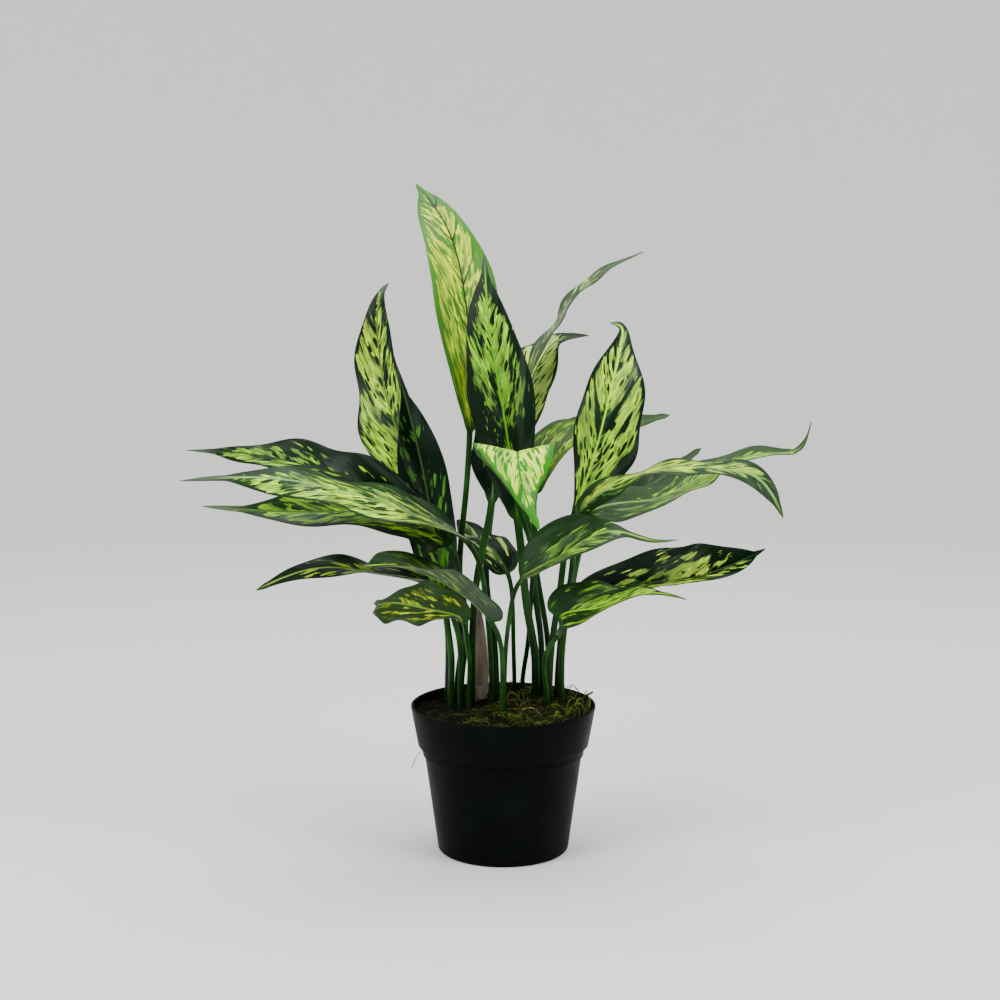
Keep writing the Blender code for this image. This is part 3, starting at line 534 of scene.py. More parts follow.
def variegated_leaf(name, look, seed):
    """Leaf of a mottled Chinese evergreen: a smooth, waxy blade with a satin shine, and soft grey clouds of
    painted sheen laid over it. Its ground is pale yellow-green, finely streaked along the side veins. Dark
    lens-shaped spots with a mid-green halo and large dark blotches that end in fingers lie along the same
    veins, and pale islands show in the dark."""
    material, tree, shader = new_material(f"waxy_variegated_{name}", 0.42, 0.12)
    veins, place, skin = [add_node(tree, "Attribute", {"attribute_name": key}).outputs["Vector"]
                          for key in ("veins", "place", "skin")]
    line, spot, part = [add_node(tree, "SeparateXYZ", links={0: vector}).outputs
                        for vector in (veins, place, skin)]
    blotch, streak, cloud, bend, mottle = [
        add_node(tree, "TexNoise", {"noise_dimensions": "2D", "Scale": 1.0, "Detail": detail},
                 {"Vector": scaled(tree, veins, along, away, seed=seed)}).outputs
        for along, away, detail in NOISES]
    lenses = []
    for size, amount, shift in (((10.5, 6.0), look.spots, 31.0), ((14.0, 7.5), look.islands, 57.0)):
        where = add_node(tree, "VectorMath", {"operation": "MULTIPLY_ADD", 1: (0.5, 0.5, 0.5)},
                         {0: bend["Color"], 2: scaled(tree, veins, *size, seed=seed + shift)})
        cells = add_node(tree, "TexVoronoi", {"voronoi_dimensions": "2D", "Scale": 1.0},
                         {"Vector": where.outputs[0]})
        reach = add_node(tree, "Math", {"operation": "MULTIPLY_ADD", 1: -0.5},
                         {0: cells.outputs["Color"], 2: cells.outputs["Distance"]})
        least = -0.42 * (1 - amount)
        lens = add_node(tree, "MapRange", {"interpolation_type": "SMOOTHSTEP",
                        "From Min": least + 0.12, "From Max": least - 0.08}, {"Value": reach.outputs[0]})
        lenses.append(lens.outputs[0])
    field = part[2]
    for value, weight in ((blotch[0], BLOTCH_WEIGHT), (streak[0], STREAK_WEIGHT),
                          (lenses[0], SPOT_WEIGHT), (lenses[1], -ISLAND_WEIGHT)):
        field = add_node(tree, "Math", {"operation": "MULTIPLY_ADD", 1: weight},
                         {0: value, 2: field}).outputs[0]

    between = add_node(tree, "Math", {"operation": "PINGPONG", 1: DRAWN_VEINS / 2}, {0: line[0]})
    vein = add_node(tree, "Math", {"operation": "MULTIPLY_ADD", 1: VEIN_THINNING},
                    {0: spot[2], 2: between.outputs[0]}).outputs[0]
    fibre = add_node(tree, "TexNoise", {"noise_dimensions": "2D", "Scale": 1.0, "Detail": 2.0},
                     {"Vector": scaled(tree, veins, 30.0, 0.9)}).outputs[0]
    pale = add_node(tree, "Mix", {"data_type": "RGBA", 6: linear(TINTS[look.pale[0]]),
                                            7: linear(TINTS[look.pale[1]])}, {0: spot[0]}).outputs[2]
    halo, dark, rib = TINTS[look.halo], TINTS[look.dark], TINTS[look.rib]
    blade = layered(tree, pale, (
        (halo, cloud[0], 0.40, 0.70, 0.35),
        (halo, mottle[0], 0.34, 0.66, look.mottle),
        (halo, streak[0], 0.50, 0.66, 0.75 * look.streaks),
        (halo, field, 0.34, 0.52, 1.0),
        (dark, field, 0.52, 0.64, 1.0),
        # Painted sheen: soft grey-green satin patches in the clouds, laid over pale and dark alike.
        (TINTS["slate"], cloud[0], 0.55, 0.75, 0.35),
        (rib, vein, 2.4, 1.2, look.veins),
        (rib, spot[2], 1.3, 0.6, 1.0),
        (TINTS[look.tip_tint], spot[0], look.tip - 0.06, min(1.0, look.tip + 0.05), 0.9),
        (TINTS[look.under], part[1], 0.4, 0.6, 0.65),
    ))
    stalk = layered(tree, STALK, (
        (STALK_STREAK, fibre, 0.45, 0.70, 0.8),
        # Painted shade: the stalk darkens from 40 mm below the blade down towards its foot.
        (STALK_FOOT_PAINTED_SHADE, line[0], -40.0, -180.0, 0.9),
    ))
    whole = add_node(tree, "Mix", {"data_type": "RGBA"}, {0: part[0], 6: stalk, 7: blade})
    gloss = add_node(tree, "MapRange", {"To Min": 0.38, "To Max": 0.6}, {"Value": part[1]})
    relief = add_node(tree, "Bump", {"Strength": 0.3, "Distance": 0.0004}, {"Height": streak[0]})
    wire(tree, shader, whole.outputs[2], relief.outputs[0], gloss.outputs[0])
    return material


def papery_sheath():
    """Dried leaf sheath: thin dead skin. It is matt and buff, with close fibres running to its tip."""
    material, tree, shader = new_material("dried_papery_sheath", 0.85, 0.2)
    place = add_node(tree, "Attribute", {"attribute_name": "place"}).outputs["Vector"]
    spot = add_node(tree, "SeparateXYZ", links={0: place}).outputs
    fibre = add_node(tree, "TexNoise", {"Scale": 1.0, "Detail": 3.0},
                     {"Vector": scaled(tree, place, 1.0, 0.9, 0.9)}).outputs[0]
    colour = layered(tree, "#968a76", (
        ("#5b5145", fibre, 0.48, 0.70, 0.9),
        ("#4a4236", spot[0], 0.5, 1.0, 0.5),
    ))
    relief = add_node(tree, "Bump", {"Strength": 0.6, "Distance": 0.0004}, {"Height": fibre})
    wire(tree, shader, colour, relief.outputs[0])
    return material


def moulded_plastic():
    """Injection-moulded polypropylene of a nursery pot: near black, with a soft broad shine, a fine
    moulding grain, and a slight haze of handling that makes the shine uneven."""
    material, tree, shader = new_material("moulded_black_polypropylene", 0.45, 0.03)
    spot = add_node(tree, "TexCoord").outputs["Object"]
    haze = add_node(tree, "TexNoise", {"Scale": 28.0, "Detail": 4.0, "Roughness": 0.6},
                    {"Vector": spot}).outputs[0]
    # The real grain is about 0.1 mm and too fine to show, so it is drawn at 0.7 mm.
    grain = add_node(tree, "TexNoise", {"Scale": 1400.0, "Detail": 2.0},
                     {"Vector": spot}).outputs[0]
    colour = layered(tree, "#040607", (("#090c0d", haze, 0.45, 0.75, 1.0),))
    rough = add_node(tree, "MapRange",
                     {"From Min": 0.3, "From Max": 0.7, "To Min": 0.36, "To Max": 0.5}, {"Value": haze})
    relief = add_node(tree, "Bump", {"Strength": 0.12, "Distance": 0.0002}, {"Height": grain})
    wire(tree, shader, colour, relief.outputs[0], rough.outputs[0])
    return material


def potting_mix():
    """Peat and fine bark: dark brown, dull and crumbly, with lighter bits of bark about 3 mm across."""
    material, tree, shader = new_material("peat_and_bark", 0.95, 0.2)
    spot = add_node(tree, "TexCoord").outputs["Object"]
    crumb = add_node(tree, "TexVoronoi", {"Scale": 350.0}, {"Vector": spot}).outputs
    colour = layered(tree, "#17110b", (("#3a2c1c", crumb["Color"], 0.4, 0.8, 1.0),))
    relief = add_node(tree, "Bump", {"Strength": 0.8, "Distance": 0.001}, {"Height": crumb[0]})
    wire(tree, shader, colour, relief.outputs[0])
    return material


def dried_moss(name, low, high):
    """Preserved moss: matt and fibrous, from nearly black to a dull olive, each strand with its own tint.
    The near-black of the mat under the strands and the darker moss in the hollow are painted shade."""
    material, tree, shader = new_material(name, 0.95, 0.15)
    tint = add_node(tree, "Attribute", {"attribute_name": "tint"}).outputs["Vector"]
    share = add_node(tree, "SeparateXYZ", links={0: tint}).outputs[0]
    wire(tree, shader, layered(tree, low, ((high, share, 0.0, 1.0, 1.0),)))
    return material


def fibrous(name, low, high, stretch):
    """A dry plant fibre or thread: dull, and mottled along its length every few mm."""
    material, tree, shader = new_material(name, 0.85, 0.2)
    spot = add_node(tree, "TexCoord").outputs["Object"]
    mottle = add_node(tree, "TexNoise", {"Scale": 1 / (stretch * MM), "Detail": 2.0},
                      {"Vector": spot}).outputs[0]
    wire(tree, shader, layered(tree, low, ((high, mottle, 0.35, 0.65, 1.0),)))
    return material


def grid_faces(rows, around):
    """Quads of a tube of rings, ring after ring."""
    row, point = np.meshgrid(np.arange(rows - 1), np.arange(around), indexing="ij")
    a = row * around + point
    b = row * around + (point + 1) % around
    return np.stack([a, b, b + around, a + around], -1).reshape(-1, 4)


def new_object(name, points, faces, material, attributes=None, ends=()):
    """A mesh object at the origin: points in mm, faces as index rows, vector attributes by name."""
    mesh = bpy.data.meshes.new(name)
    mesh.from_pydata((points * MM).tolist(), [], faces.tolist() + [list(end) for end in ends])
    for key, values in (attributes or {}).items():
        layer = mesh.attributes.new(key, "FLOAT_VECTOR", "POINT")
        layer.data.foreach_set("vector", np.ascontiguousarray(values, dtype=np.float32).ravel())
    mesh.materials.append(material)
    mesh.shade_smooth()
    mesh.update()
    item = bpy.data.objects.new(name, mesh)
    bpy.context.scene.collection.objects.link(item)
    return item


def new_piece(name, points, faces, material, attributes=None, ends=()):
    """A mesh object that rides the part's one body."""
    piece = new_object(name, points, faces, material, attributes, ends)
    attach(piece, "root")
    return piece


def smooth_step(share):
    share = np.clip(share, 0, 1)
    return share**2 * (3 - 2 * share)


def smooth_line(points, along):
    """Natural cubic spline through points: places and unit directions at distances along its chords."""
    step = np.linalg.norm(np.diff(points, axis=0), axis=1)
    knots = np.concatenate([[0.0], np.cumsum(step)])
    count = len(points)
    matrix = np.eye(count)
    right = np.zeros((count, 3))
    slope = np.diff(points, axis=0) / step[:, None]
    for i in range(1, count - 1):
        matrix[i, i - 1 : i + 2] = step[i - 1], 2 * (step[i - 1] + step[i]), step[i]
        right[i] = 6 * (slope[i] - slope[i - 1])
    bend = np.linalg.solve(matrix, right)
    i = np.clip(np.searchsorted(knots, along, side="right") - 1, 0, count - 2)
    length = step[i][:, None]
    ahead = (knots[i + 1] - along)[:, None]
    behind = (along - knots[i])[:, None]
    start = points[i] / length - bend[i] * length / 6
    end = points[i + 1] / length - bend[i + 1] * length / 6
    place = (bend[i] * ahead**3 + bend[i + 1] * behind**3) / (6 * length) + start * ahead + end * behind
    direction = (bend[i + 1] * behind**2 - bend[i] * ahead**2) / (2 * length) - start + end
    return place, direction / np.linalg.norm(direction, axis=1, keepdims=True)


def stations(leaf):
    """Rows from foot to tip: places, directions, the share of the blade passed, and mm from its base."""
    x, y = leaf.foot
    root = ((x, y, FOOT), (x, y, (FOOT + MOSS_EXIT) / 2), (x, y, MOSS_EXIT))
    points = np.array(root + leaf.stalk + leaf.blade, float)
    knots = np.concatenate([[0.0], np.cumsum(np.linalg.norm(np.diff(points, axis=0), axis=1))])
    base = knots[len(root) + len(leaf.stalk)]
    length = knots[-1] - base
    share = np.concatenate([np.linspace(0, NECK, NECK_ROWS), np.linspace(NECK, 1, BLADE_ROWS)[1:]])
    below = np.linspace(0.0, base, STALK_ROWS + 1)[:-1]
    place, direction = smooth_line(points, np.concatenate([below, base + length * share]))
    passed = np.concatenate([np.zeros(STALK_ROWS), share])
    return place, direction, passed, np.concatenate([below - base, length * share])


def upper_side(leaf, direction, passed):
    """Where the upper side looks at each row, square to the midrib. Down the stalk it turns no further."""
    azimuth, elevation = np.radians(np.array(leaf.face, float)).T
    look = np.stack([np.cos(elevation) * np.cos(azimuth), np.cos(elevation) * np.sin(azimuth),
                     np.sin(elevation)], axis=1)
    marks = np.linspace(0, 1, len(look))
    side = np.stack([np.interp(passed, marks, look[:, axis]) for axis in range(3)], axis=1)
    for row in reversed(range(len(side))):
        if row < STALK_ROWS:
            side[row] = side[row + 1]
        side[row] -= side[row] @ direction[row] * direction[row]
        side[row] /= np.linalg.norm(side[row])
    return side


def half_width(leaf, passed):
    """Half the blade's width. It swells to width / 2 as (1 - before^2)^blunt and draws in from there as
    (1 - after^2)^taper, where before and after are how far the widest place is still ahead or already
    behind. The drip tip's own half width is added as the root of the sum of squares."""
    place = np.clip(passed / (1 - leaf.tail), 0, 1)
    before = np.clip(1 - place / leaf.widest, 0, 1)
    after = np.clip((place - leaf.widest) / (1 - leaf.widest), 0, 1)
    body = leaf.width / 2 * (1 - before**2) ** leaf.blunt * (1 - after**2) ** leaf.taper
    thinning = np.clip((1 - passed) / max(leaf.tail, 0.02), 0, 1) ** 0.7
    half = np.hypot(body, TAIL_HALF_WIDTH * smooth_step(passed / 0.3) * thinning)
    half[STALK_ROWS:] = np.maximum(half[STALK_ROWS:], 0.25)
    return half


def leaf_sheet(leaf):
    """The leaf on a grid of rows from foot to tip and points round it, and what its markings need.

    Across the blade a point lies at share of the half width. Both halves fold up from the midrib and
    the edges ripple, as on the CAD leaf. The side veins are lines of equal distance along the midrib
    less VEIN_SLOPE times the distance from it, so they lean to the tip. Each is a shallow furrow.
    """
    place, direction, passed, along = stations(leaf)
    up = upper_side(leaf, direction, passed)
    out = np.cross(direction, up)
    half = half_width(leaf, passed)
    share = np.concatenate([np.linspace(-1, 1, SHARES), np.linspace(1, -1, SHARES)])
    away = np.repeat([1.0, -1.0], SHARES)
    side = np.sign(share)
    rows = passed[:, None]
    rise, waves, lead = leaf.wave
    turn = 2 * np.pi * waves * rows + np.radians(lead) * side
    bulge = leaf.scallop * np.sin(turn + SCALLOP_LEAD) * share**2
    own = half[:, None] * (1 + leaf.skew * side) * (1 + bulge)
    reach = own * np.abs(share)
    bladed = smooth_step(rows / NECK)
    tapering = RIB_AT_TIP + (RIB_AT_NECK - RIB_AT_TIP) * (1 - rows) ** 0.7
    rib = leaf.stalk_radius * np.where(rows > 0, tapering, 1.0)
    fold = np.radians(np.interp(rows, (0, 1), leaf.fold))
    ripple = rise * np.sin(turn)
    vein = along[:, None] - VEIN_SLOPE * reach * (1 + VEIN_CURVE * share**2)
    furrow = VEIN_RELIEF * np.cos(2 * np.pi * vein / VEIN_SPACING) * smooth_step(reach / 4) * (1 - share**4)
    groove = MIDRIB_GROOVE * np.exp(-(reach / 1.1) ** 2) * np.where(away > 0, 1.0, 0.0)
    across = own * share * np.cos(fold)
    lift = reach * np.sin(fold) + ripple * share**2 * (half / half.max())[:, None] + furrow * bladed
    keel = np.where(away < 0, RIB_DEPTH * rib, 0.0) * np.exp(-(reach / (0.8 * rib)) ** 2)
    skin = EDGE_THICKNESS + (BLADE_THICKNESS - EDGE_THICKNESS) * (1 - np.abs(share) ** 3)
    angle = np.radians(90 - 86 * share)
    skin = bladed * (skin / 2 + keel - groove * (rib > 0.8)) + (1 - bladed) * rib * np.sin(angle)
    across = across + (1 - bladed) * rib * np.cos(angle)
    tilt = fold * side
    spread = np.concatenate([across[..., None] * out[:, None], lift[..., None] * up[:, None]], axis=-1)
    normal = (bladed * np.cos(tilt) + 1 - bladed)[..., None] * up[:, None]
    normal = normal - (bladed * np.sin(tilt))[..., None] * out[:, None]
    points = place[:, None] + spread[..., :3] + spread[..., 3:] + (away * skin)[..., None] * normal
    return points, rows, own, reach, share, away, bladed, vein, along


def shade_field(look, rows, own, reach, share, vein):
    """How far the dark takes over. The shade along the blade, a bell over each margin, and for each patch
    a bell over the distance in mm from the side vein through its middle and over the share from it."""
    marks = np.linspace(0, 1, len(look.shade))
    field = np.interp(rows, marks, look.shade) * np.ones_like(reach) - (BLOTCH_WEIGHT + STREAK_WEIGHT) / 2
    width = np.where(share < 0, look.margin[0], look.margin[1])
    field += MARGIN_WEIGHT * np.exp(-(((own - reach) / width) ** 2))
    for centre, across, wide, breadth, amount in look.patches:
        row = np.abs(rows[:, 0] - centre).argmin()
        point = np.abs(share[:SHARES] - across).argmin()
        off = ((vein - vein[row, point]) / wide) ** 2 + ((share - across) / breadth) ** 2
        field += amount * np.exp(-off)
    return field


def make_leaf(name, leaf, number):
    """One leaf, with attributes for its markings: veins (side vein, signed mm from the midrib), place
    (share of the blade passed, mm from the edge, mm from the midrib), skin (blade, underside, dark)."""
    points, rows, own, reach, share, away, bladed, vein, along = leaf_sheet(leaf)
    rows_count, around = points.shape[:2]
    ones = np.ones((rows_count, around))
    look = LOOKS.get(name)
    dark = shade_field(look, rows, own, reach, share, vein) if look else 0 * ones
    line = np.where(bladed > 0, vein, along[:, None])
    attributes = {
        "veins": np.stack([line, reach * np.sign(share), 0 * ones], -1).reshape(-1, 3),
        "place": np.stack([rows * ones, own - reach, reach], -1).reshape(-1, 3),
        "skin": np.stack([bladed * ones, (away < 0) * ones, dark], -1).reshape(-1, 3),
    }
    material = variegated_leaf(name, look, SEED_STEP * number) if look else papery_sheath()
    last = (rows_count - 1) * around
    ends = (range(around - 1, -1, -1), range(last, last + around))
    piece = new_piece(f"{name}_fine", points.reshape(-1, 3), grid_faces(rows_count, around), material,
                      attributes, ends)
    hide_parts(name)


def arc(centre, radius, start, end, steps):
    """Points of a circular arc in the profile plane, with angles in degrees from the outward direction."""
    angles = np.radians(np.linspace(start, end, steps + 1))
    return [(centre[0] + radius * np.cos(a), centre[1] + radius * np.sin(a)) for a in angles]


def turned(profile, sides):
    """Rings of a profile of (radius, height) turned about Z: (r cos a, r sin a, z) for each angle a."""
    radius, height = np.array(profile).T
    angle = np.linspace(0, 2 * np.pi, sides, endpoint=False)
    return np.stack([radius[:, None] * np.cos(angle), radius[:, None] * np.sin(angle),
                     height[:, None] * np.ones(sides)], -1).reshape(-1, 3)


def pot_profile():
    """From the inside foot of the wall up over the lip and down outside to the underside's edge."""
    lip = WALL / 2
    inside = [
        (BASE_RADIUS - WALL - 1.8, FLOOR_THICKNESS),
        (BASE_RADIUS - WALL, FLOOR_THICKNESS + 3.0),
        (BODY_TOP_RADIUS - WALL, RING_FOOT - 1.0),
        (RING_RADIUS - WALL, RING_FOOT + 1.5),
        (RING_RADIUS - WALL, BAND_FOOT - 0.5),
        (BAND_FOOT_RADIUS - WALL, BAND_FOOT + WALL),
    ]
    rounded_lip = arc((RIM_RADIUS - lip, POT_HEIGHT - lip), lip, 180, 0, 10)
    band_edge = arc((BAND_FOOT_RADIUS - 1.0, BAND_FOOT + 1.0), 1.0, 0, -90, 6)
    ring = [(RING_RADIUS + 0.4, BAND_FOOT - 0.2), (RING_RADIUS, BAND_FOOT - 0.6)]
    ring_edge = arc((RING_RADIUS - 0.9, RING_FOOT + 1.2), 0.8, 10, -80, 5)
    body = [(BODY_TOP_RADIUS, RING_FOOT)]
    base_edge = arc((BASE_RADIUS - 2.5, 2.5), 2.5, 0, -90, 8)
    return inside + rounded_lip + band_edge + ring + ring_edge + body + base_edge


def flat_sheet(points, loops, upward):
    """Triangles over the first loop of point numbers less the other loops, all facing up or all down."""
    outlines = [[Vector(points[i]) for i in loop] for loop in loops]
    corners = np.concatenate(loops)[np.array(tessellate_polygon(outlines))]
    first, second, third = (points[corners[:, i], :2] for i in range(3))
    one, other = second - first, third - first
    wrong = (one[:, 0] * other[:, 1] > one[:, 1] * other[:, 0]) != upward
    corners[wrong] = corners[wrong, ::-1]
    return corners.tolist()


def make_pot():
    """The turned wall, and a floor of two flat sheets joined by the walls of the drain holes."""
    rings = turned(pot_profile(), POT_SIDES)
    hole = turned([(DRAIN_RADIUS, FLOOR_THICKNESS), (DRAIN_RADIUS, 0.0)], DRAIN_SIDES)
    angle = 2 * np.pi * np.arange(DRAIN_COUNT) / DRAIN_COUNT
    middle = DRAIN_CIRCLE * np.stack([np.cos(angle), np.sin(angle), 0 * angle], -1)
    points = np.concatenate([rings, (middle[:, None] + hole).reshape(-1, 3)])
    starts = len(rings) + 2 * DRAIN_SIDES * np.arange(DRAIN_COUNT)
    walls = [grid_faces(len(rings) // POT_SIDES, POT_SIDES)[:, ::-1]]
    walls += [grid_faces(2, DRAIN_SIDES) + start for start in starts]
    inside = [np.arange(POT_SIDES)] + [start + np.arange(DRAIN_SIDES) for start in starts]
    below = [len(rings) - POT_SIDES + inside[0]] + [loop + DRAIN_SIDES for loop in inside[1:]]
    sheets = flat_sheet(points, inside, True) + flat_sheet(points, below, False)
    piece = new_piece("pot_fine", points, np.concatenate(walls), moulded_plastic(), ends=sheets)
    piece.data.set_sharp_from_angle(angle=np.radians(35))
    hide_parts("pot")


def inner_radius(height):
    """Radius of the band's inner wall at a height."""
    foot = BAND_FOOT + WALL
    share = (height - foot) / (POT_HEIGHT - foot)
    return (BAND_FOOT_RADIUS - WALL) + share * (RIM_RADIUS - BAND_FOOT_RADIUS)


def moss_height(x, y):
    """Top of the moss: it rises to the front, crowns in the middle and sinks into a hollow at the left
    group of stalks, with the CAD solid's lumps and finer ones."""
    slope = -MOSS_RISE_TO_FRONT * y / RIM_RADIUS
    crown = MOSS_CROWN * (1 - (x**2 + y**2) / RIM_RADIUS**2)
    away = (x - HOLLOW_PLACE[0]) ** 2 + (y - HOLLOW_PLACE[1]) ** 2
    hollow = HOLLOW_DEPTH * np.exp(-away / (2 * HOLLOW_SPREAD**2))
    lumps = LUMP_RISE * (np.sin(x / LUMP_SPAN + 1.3) * np.cos(y / LUMP_SPAN) + 0.6 * np.sin((x + y) / 4.5))
    fine = 0.7 * np.sin(x / 1.9 + 2 * np.sin(y / 5)) * np.sin(y / 2.3 + 1.5 * np.sin(x / 4))
    return MOSS_MIDDLE + slope + crown - hollow + lumps + fine


def mossy(x, y, luck):
    """Tint from 0, nearly black, to 1, olive: darker to the left, darker in the hollow as painted shade, in
    patches a few cm across, and different for each strand by its luck."""
    away = (x - HOLLOW_PLACE[0]) ** 2 + (y - HOLLOW_PLACE[1]) ** 2
    hollow = np.exp(-away / (2 * (HOLLOW_SPREAD * 1.3) ** 2))
    patch = np.sin(x / 9 + 1.7 * np.sin(y / 11)) * np.sin(y / 8 + 1.3 * np.sin(x / 13))
    # The hollow term is painted shade, where the left group of stalks crowds over the moss.
    tint = np.clip(0.62 + x / 160 + 0.3 * patch - 0.6 * hollow, 0.08, 1) * luck
    return np.stack([tint] * 3, -1)


def make_moss_mat():
    """A closed disc: rings of points at moss_height out to the wall, then down it and back underneath."""
    floor = SOIL_TOP + 0.3
    share = np.linspace(1 / MAT_RINGS, 1, MAT_RINGS)[:, None]
    angle = np.linspace(0, 2 * np.pi, MAT_SIDES, endpoint=False)
    edge = inner_radius(MOSS_MIDDLE) - WALL_GAP
    x = edge * share * np.cos(angle)
    y = edge * share * np.sin(angle)
    top = np.stack([x, y, moss_height(x, y)], -1)
    wall = (inner_radius(floor) - WALL_GAP) / edge
    foot = np.stack([x[-1] * wall, y[-1] * wall, np.full(MAT_SIDES, floor)], -1)[None]
    ring = np.concatenate([top, foot]).reshape(-1, 3)
    poles = np.array([(0, 0, float(moss_height(0.0, 0.0))), (0, 0, floor)])
    points = np.concatenate([ring, poles])
    top_pole, low_pole, far = len(ring), len(ring) + 1, MAT_RINGS * MAT_SIDES
    caps = [(top_pole, i, (i + 1) % MAT_SIDES) for i in range(MAT_SIDES)]
    caps += [(low_pole, far + (i + 1) % MAT_SIDES, far + i) for i in range(MAT_SIDES)]
    tint = mossy(points[:, 0], points[:, 1], 0.6)
    # The mat's near-black colour is painted shade: the shaded depths between the strands.
    piece = new_piece("moss_mat", points, grid_faces(MAT_RINGS + 1, MAT_SIDES)[:, ::-1],
                      dried_moss("moss_bed_painted_shade", "#040301", "#16150a"), {"tint": tint}, caps)
    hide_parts("moss")


def tubes(paths, radius, sides=3):
    """Tubes along many paths at once: paths is (count, steps, 3), radius (count, steps). Each ring lies
    across its path, and its first point looks up."""
    along = np.gradient(paths, axis=1)
    along /= np.linalg.norm(along, axis=-1, keepdims=True) + 1e-9
    side = np.cross(along, np.array([0.05, 0.03, 1.0]))
    side /= np.linalg.norm(side, axis=-1, keepdims=True) + 1e-9
    up = np.cross(side, along)
    angle = np.linspace(0, 2 * np.pi, sides, endpoint=False) + np.pi / 2
    ring = np.cos(angle)[:, None] * side[..., None, :] + np.sin(angle)[:, None] * up[..., None, :]
    points = paths[..., None, :] + radius[..., None, None] * ring
    count, steps = paths.shape[:2]
    start = (np.arange(count) * steps * sides)[:, None, None]
    quads = (grid_faces(steps, sides)[None, :, ::-1] + start).reshape(-1, 4)
    near = np.arange(sides) + start[:, 0]
    far = np.arange(sides)[::-1] + (steps - 1) * sides + start[:, 0]
    return points.reshape(-1, 3), quads, np.concatenate([near, far]).tolist()


def make_moss_strands():
    """Curled strands lying on the mat. Each starts at a random place, and its heading turns steadily
    with a wobble. It arches a little above the mat in the middle, higher to the right where the moss is
    loose, and sinks in at both ends."""
    draw = np.random.default_rng(STRAND_SEED)
    count, steps = STRAND_COUNT, STRAND_STEPS
    radius = (RIM_RADIUS - 5) * np.sqrt(draw.random(count))
    angle = 2 * np.pi * draw.random(count)
    step = draw.uniform(0.8, 2.4, count)[:, None]
    turn = draw.normal(0, 0.3, count)[:, None]
    heading = 2 * np.pi * draw.random(count)[:, None] + turn * np.arange(steps)
    heading += np.cumsum(draw.normal(0, 0.25, (count, steps)), axis=1)
    x = (radius * np.cos(angle))[:, None] + np.cumsum(step * np.cos(heading), axis=1)
    y = (radius * np.sin(angle))[:, None] + np.cumsum(step * np.sin(heading), axis=1)
    pull = np.minimum(1, (inner_radius(MOSS_MIDDLE) - 1.2) / np.hypot(x, y))
    x, y = x * pull, y * pull
    arch = np.sin(np.linspace(0, np.pi, steps))[None]
    loose = np.clip(1 + x / 60, 0.5, 2.2)
    z = moss_height(x, y) - STRAND_SINK + arch * draw.gamma(1.6, 1.5, count)[:, None] * loose
    thick = draw.uniform(0.2, 0.45, count)[:, None] * (0.45 + 0.55 * arch)
    points, quads, ends = tubes(np.stack([x, y, z], -1), thick)
    luck = np.repeat(draw.random(count) ** 2, steps * 3)
    tint = mossy(points[:, 0], points[:, 1], luck)
    piece = new_piece("moss_strands", points, quads, dried_moss("dry_moss_strand", "#0a0c04", "#75822f"),
                      {"tint": tint}, ends)
    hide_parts("moss")


def strand(name, path, thick, material, steps=30, sides=8):
    """One fibre or twig: a tube along a smooth line through a few points, thinning at both ends."""
    points = np.array(path, float)
    total = np.linalg.norm(np.diff(points, axis=0), axis=1).sum()
    place, _ = smooth_line(points, np.linspace(0, total, steps))
    radius = thick * (0.6 + 0.4 * np.sin(np.linspace(0.2, np.pi - 0.2, steps)))
    points, quads, ends = tubes(place[None], radius[None], sides)
    new_piece(name, points, quads, material, ends=ends)


def make_trifles():
    """The twig that lies over the rim, the fibre caught under the band, and the thread in the moss."""
    strand("rim_twig", ((58, 12, 122.5), (68, 18, 127.0), (73.5, 22, 129.6), (79, 25, 132)), 1.15,
           fibrous("dry_twig", "#1b170e", "#332c1e", 3.0))
    strand("caught_fibre", ((-67.5, -18, 91.5), (-71.5, -20, 90), (-76, -22, 83), (-79.5, -23, 75.5)), 0.5,
           fibrous("bleached_fibre", "#8a8d89", "#b4b7b3", 4.0))
    strand("moss_thread", ((14, -30, 124), (17, -33, 131), (24, -35, 133), (31, -40, 129), (35, -46, 124)),
           0.4, fibrous("straw_thread", "#8f8350", "#bfae6c", 3.0))


def aim(item, target):
    item.rotation_euler = (Vector(target) - item.location).to_track_quat("-Z", "Y").to_euler()


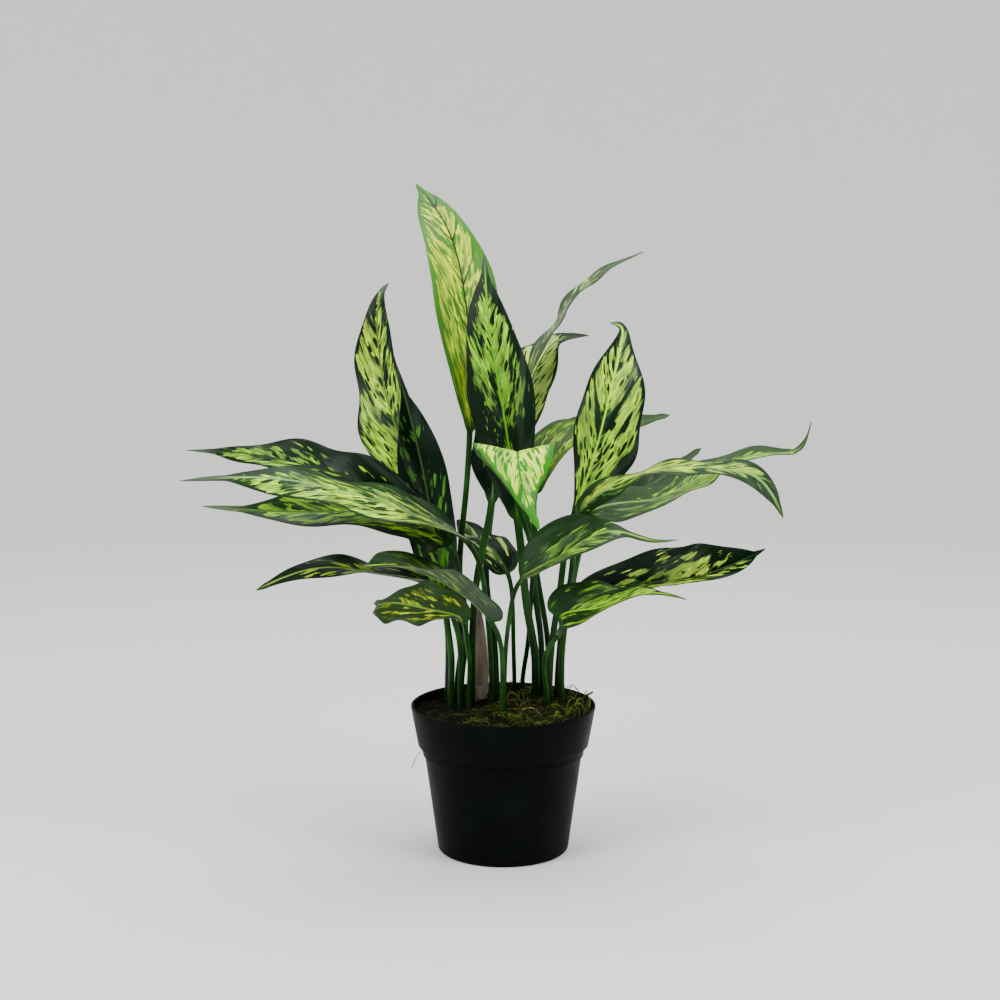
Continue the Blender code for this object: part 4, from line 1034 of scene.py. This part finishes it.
def make_camera():
    """The photograph's view: 7.75 degrees down from 1.5 m in front and 0.51 m up."""
    data = bpy.data.cameras.new("viewpoint")
    data.lens = LENS
    data.sensor_width = 36.0
    data.clip_end = 100.0
    camera = bpy.data.objects.new("viewpoint", data)
    camera.location = CAMERA_PLACE
    camera.rotation_euler = (np.radians(CAMERA_TILT), 0.0, 0.0)
    bpy.context.scene.collection.objects.link(camera)
    bpy.context.scene.camera = camera


def make_light(name, place, size, power):
    data = bpy.data.lights.new(name, "AREA")
    data.shape = "SQUARE"
    data.size = size
    data.energy = power
    lamp = bpy.data.objects.new(name, data)
    lamp.location = place
    bpy.context.scene.collection.objects.link(lamp)
    aim(lamp, (0, 0, 0.3))


def make_cove():
    """Pale floor that bends up into a round wall, open at the top, so that no edge shows behind the plant
    from any side: a profile of (radius, height) turned about Z."""
    bend = arc((COVE_RADIUS - COVE_BEND, COVE_BEND), COVE_BEND, -90, 0, 20)
    profile = [(0.4, 0.0), (0.8, 0.0), (1.4, 0.0)] + bend + [(COVE_RADIUS, COVE_HEIGHT)]
    points = turned(profile, COVE_SIDES) / MM - (0, 0, 0.2)
    material, _, shader = new_material("pale_paper_cove", 0.8, 0.2)
    shader.inputs["Base Color"].default_value = linear("#e6e7e5")
    cove = new_object("cove", points, grid_faces(len(profile), COVE_SIDES)[:, ::-1], material,
                      ends=[range(COVE_SIDES)])


def make_studio():
    """The cove, soft lights from both sides and above, and a pale surround."""
    make_cove()
    make_light("left_softbox", (-1.6, -1.3, 1.9), 1.2, 50.0)
    make_light("right_softbox", (1.5, -1.0, 1.8), 1.0, 38.0)
    make_light("top_softbox", (0.1, 0.3, 2.3), 1.4, 36.0)
    world = bpy.data.worlds.new("pale_surround")
    world.use_nodes = True
    world.node_tree.nodes["Background"].inputs["Color"].default_value = linear("#d5d6d6")
    world.node_tree.nodes["Background"].inputs["Strength"].default_value = 0.9
    bpy.context.scene.world = world


make_camera()
make_studio()
make_pot()
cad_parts["soil"].data.materials.clear()
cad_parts["soil"].data.materials.append(potting_mix())
make_moss_mat()
make_moss_strands()
make_trifles()
for number, (leaf_name, leaf_values) in enumerate(LEAVES.items()):
    make_leaf(leaf_name, leaf_values, number)
